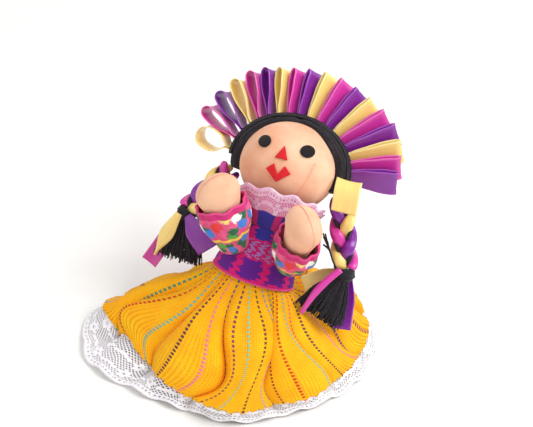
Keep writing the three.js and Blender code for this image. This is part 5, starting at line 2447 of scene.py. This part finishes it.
    def _tail(self, tail: Tail) -> None:
        """Makes one ribbon end that leaves the tie's front or back.

        Args:
            tail: Its sizes and its side.
        """
        hand, label, colour_name = self.side.value, self.side.label, tail.ribbon.value
        away = self.tie_radius * cos(self.tail_aside) + CLEARANCE + 0.5
        aside = hand * copysign(1, tail.lean) * self.tie_radius * sin(self.tail_aside)
        start = Vector((aside, tail.face * away, 0))
        out = Vector((hand * sin(tail.lean), 0, -cos(tail.lean)))
        side = Vector((out.z, 0, -out.x))
        axes, steps = self.end_frame(), 36
        points = []
        for share in (i / steps for i in range(steps + 1)):
            swell = sin(pi * share)
            spot = start + out * (share * tail.length) + Vector((0, tail.face * swell, 0))
            points.append(axes @ (spot + side * (tail.bow * swell)))
        across = [axes.to_3x3() @ side] * len(points)

        def breadth(along: float) -> float:
            """The tail's width, pinched at the tie."""
            full = lerp(self.tail_pinch, tail.width, smoothstep(along, -0.1, 1 / self.tail_spread + 0.1))
            return full * lerp(1.0, tail.tip, smoothstep(along, 0.45, 1.0))

        mesh = ribbon_sheet(points, across, breadth, 0.7 * tail.face)
        piece = piece_from(f"{label}_{colour_name}_ribbon_tail", mesh, RIBBON_THICKNESS)
        self._carry(piece, tail.ribbon.slot, self.wardrobe.satin[tail.ribbon], f"{label}_{colour_name}_tail")
        if tail.width > self.narrow:
            flat = (RIBBON_WIDTH * MM, line_length(points) * MM)


@dataclass(frozen=True)
class Lamp:
    """A soft square lamp: its place and size in metres, and its power in watts."""

    name: str
    place: tuple[float, float, float]
    size: float
    power: float

    def hang(self, aim: Vector) -> None:
        """Hangs the lamp so that it looks at a point.

        Args:
            aim: The point in metres.
        """
        lamp = bpy.data.lights.new(self.name, "AREA")
        lamp.size = self.size
        lamp.energy = self.power
        holder = bpy.data.objects.new(self.name, lamp)
        holder.location = self.place
        holder.rotation_euler = (aim - Vector(self.place)).to_track_quat("-Z", "Y").to_euler()
        bpy.context.scene.collection.objects.link(holder)


@dataclass
class Studio:
    """The pale floor, the soft lamps and the camera at the photograph's angle."""

    eye: tuple[float, float, float] = (2.483, -295.236, 304.264)
    elevation: float = radians(37.435)
    azimuth: float = radians(-0.872)
    roll: float = radians(5.579)
    lens: float = 54.423
    aim: tuple[float, float, float] = (0, 0, 0.05)
    lamps: tuple[Lamp, ...] = (
        Lamp("key", (0.42, -0.05, 0.55), 0.45, 3.6),
        Lamp("fill", (-0.55, -0.35, 0.45), 0.7, 1.0),
        Lamp("back", (0.1, 0.6, 0.45), 0.5, 1.0),
    )
    even_light: float = 0.72
    floor_tints: tuple[Colour, Colour] = (colour(240, 238, 234), colour(248, 247, 245))

    def build(self) -> None:
        """Makes the stage."""
        self._floor()
        for lamp in self.lamps:
            lamp.hang(Vector(self.aim))
        self._world()
        self._camera()
        bpy.context.scene.view_settings.view_transform = "Standard"

    def _floor(self) -> None:
        """Makes the plain pale floor."""
        mesh = bmesh.new()
        bmesh.ops.create_grid(mesh, x_segments=1, y_segments=1, size=3.0)
        floor = piece_from("floor", mesh)
        finish = Finish("pale_floor", 0.9, 0.0)
        cloud = finish.noise(finish.solid_place(), 30.0)
        finish.fill(finish.shader, {"Base Color": finish.mix(cloud, *self.floor_tints)})
        floor.data.materials.append(finish.material)

    def _world(self) -> None:
        """Sets the world's even light."""
        world = bpy.data.worlds.new("even_light")
        world.use_nodes = True
        sky = world.node_tree.nodes["Background"]
        sky.inputs["Color"].default_value = (1.0, 1.0, 1.0, 1.0)
        sky.inputs["Strength"].default_value = self.even_light
        bpy.context.scene.world = world

    def _camera(self) -> None:
        """Places the camera."""
        level = cos(self.elevation)
        bearing = (sin(self.azimuth) * level, -cos(self.azimuth) * level)
        back = Vector((*bearing, sin(self.elevation)))
        right = UP.cross(back).normalized()
        up = back.cross(right)
        turned = right * cos(self.roll) + up * sin(self.roll)
        lifted = up * cos(self.roll) - right * sin(self.roll)
        lens = bpy.data.cameras.new("camera")
        lens.lens = self.lens
        lens.sensor_width = 36.0
        lens.clip_start = 0.01
        camera = bpy.data.objects.new("camera", lens)
        camera.matrix_world = Matrix((turned, lifted, back)).transposed().to_4x4()
        camera.location = Vector(self.eye) * MM
        bpy.context.scene.collection.objects.link(camera)
        bpy.context.scene.camera = camera


def arms(wardrobe: Wardrobe, torso: Torso) -> list[Arm]:
    """The two arms with their own reaches, seams and sleeves.

    Args:
        wardrobe: The finishes.
        torso: The torso that they are sewn to.

    Returns:
        The arms, left first.
    """
    sizes = (39.0, 6.4, 6.8, 9.0, 1.2, 0.9)
    left, right = (Limb(*sizes, radians(bearing)) for bearing in (-60, -150))
    return [
        Arm(wardrobe, torso, Side.LEFT, radians(-54), (-0.12, -0.68, 0.71), left, 19.5),
        Arm(wardrobe, torso, Side.RIGHT, radians(-138), (-0.5, -0.46, 0.74), right, 24.5),
    ]


def plaits(wardrobe: Wardrobe, head: Head) -> list[Plait]:
    """The two plaits with their own falls and tails.

    Args:
        wardrobe: The finishes.
        head: The head that they hang from.

    Returns:
        The plaits, left first.
    """
    left = (
        Tail(Ribbon.MAGENTA, -1, radians(-8), 28.0, 3.4, 0.6, 1.6),
        Tail(Ribbon.PURPLE, 1, radians(26), 26.0, 9.0),
        Tail(Ribbon.GOLD, 1, radians(-36), 20.0, 9.0),
    )
    right = (
        Tail(Ribbon.GOLD, -1, radians(20), 26.0, 7.5, 0.12),
        Tail(Ribbon.PURPLE, -1, radians(-44), 20.0, 12.0),
        Tail(Ribbon.MAGENTA, 1, radians(24), 36.0, 9.0),
    )
    return [
        Plait(wardrobe, head, Side.LEFT, radians(17), 0.6, radians(36), radians(-6), left, True, 35.0),
        Plait(wardrobe, head, Side.RIGHT, radians(31), 1.1, radians(31), radians(14), right, False, 30.0),
    ]


def main() -> None:
    """Builds every sub-assembly in order, then the stage."""
    logging.basicConfig(level=logging.INFO, format="%(name)s: %(message)s")
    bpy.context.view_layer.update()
    wardrobe = Wardrobe()
    torso = Torso(wardrobe)
    blouse = Blouse(wardrobe, torso)
    head = Head(wardrobe, torso)
    assemblies = [
        torso,
        blouse,
        Skirt(wardrobe, torso, blouse),
        *arms(wardrobe, torso),
        *(Leg(wardrobe, side) for side in Side),
        head,
        Headdress(wardrobe, head),
        *plaits(wardrobe, head),
    ]
    for assembly in assemblies:
        assembly.build()
    Studio().build()


if __name__ == "__main__":
    main()
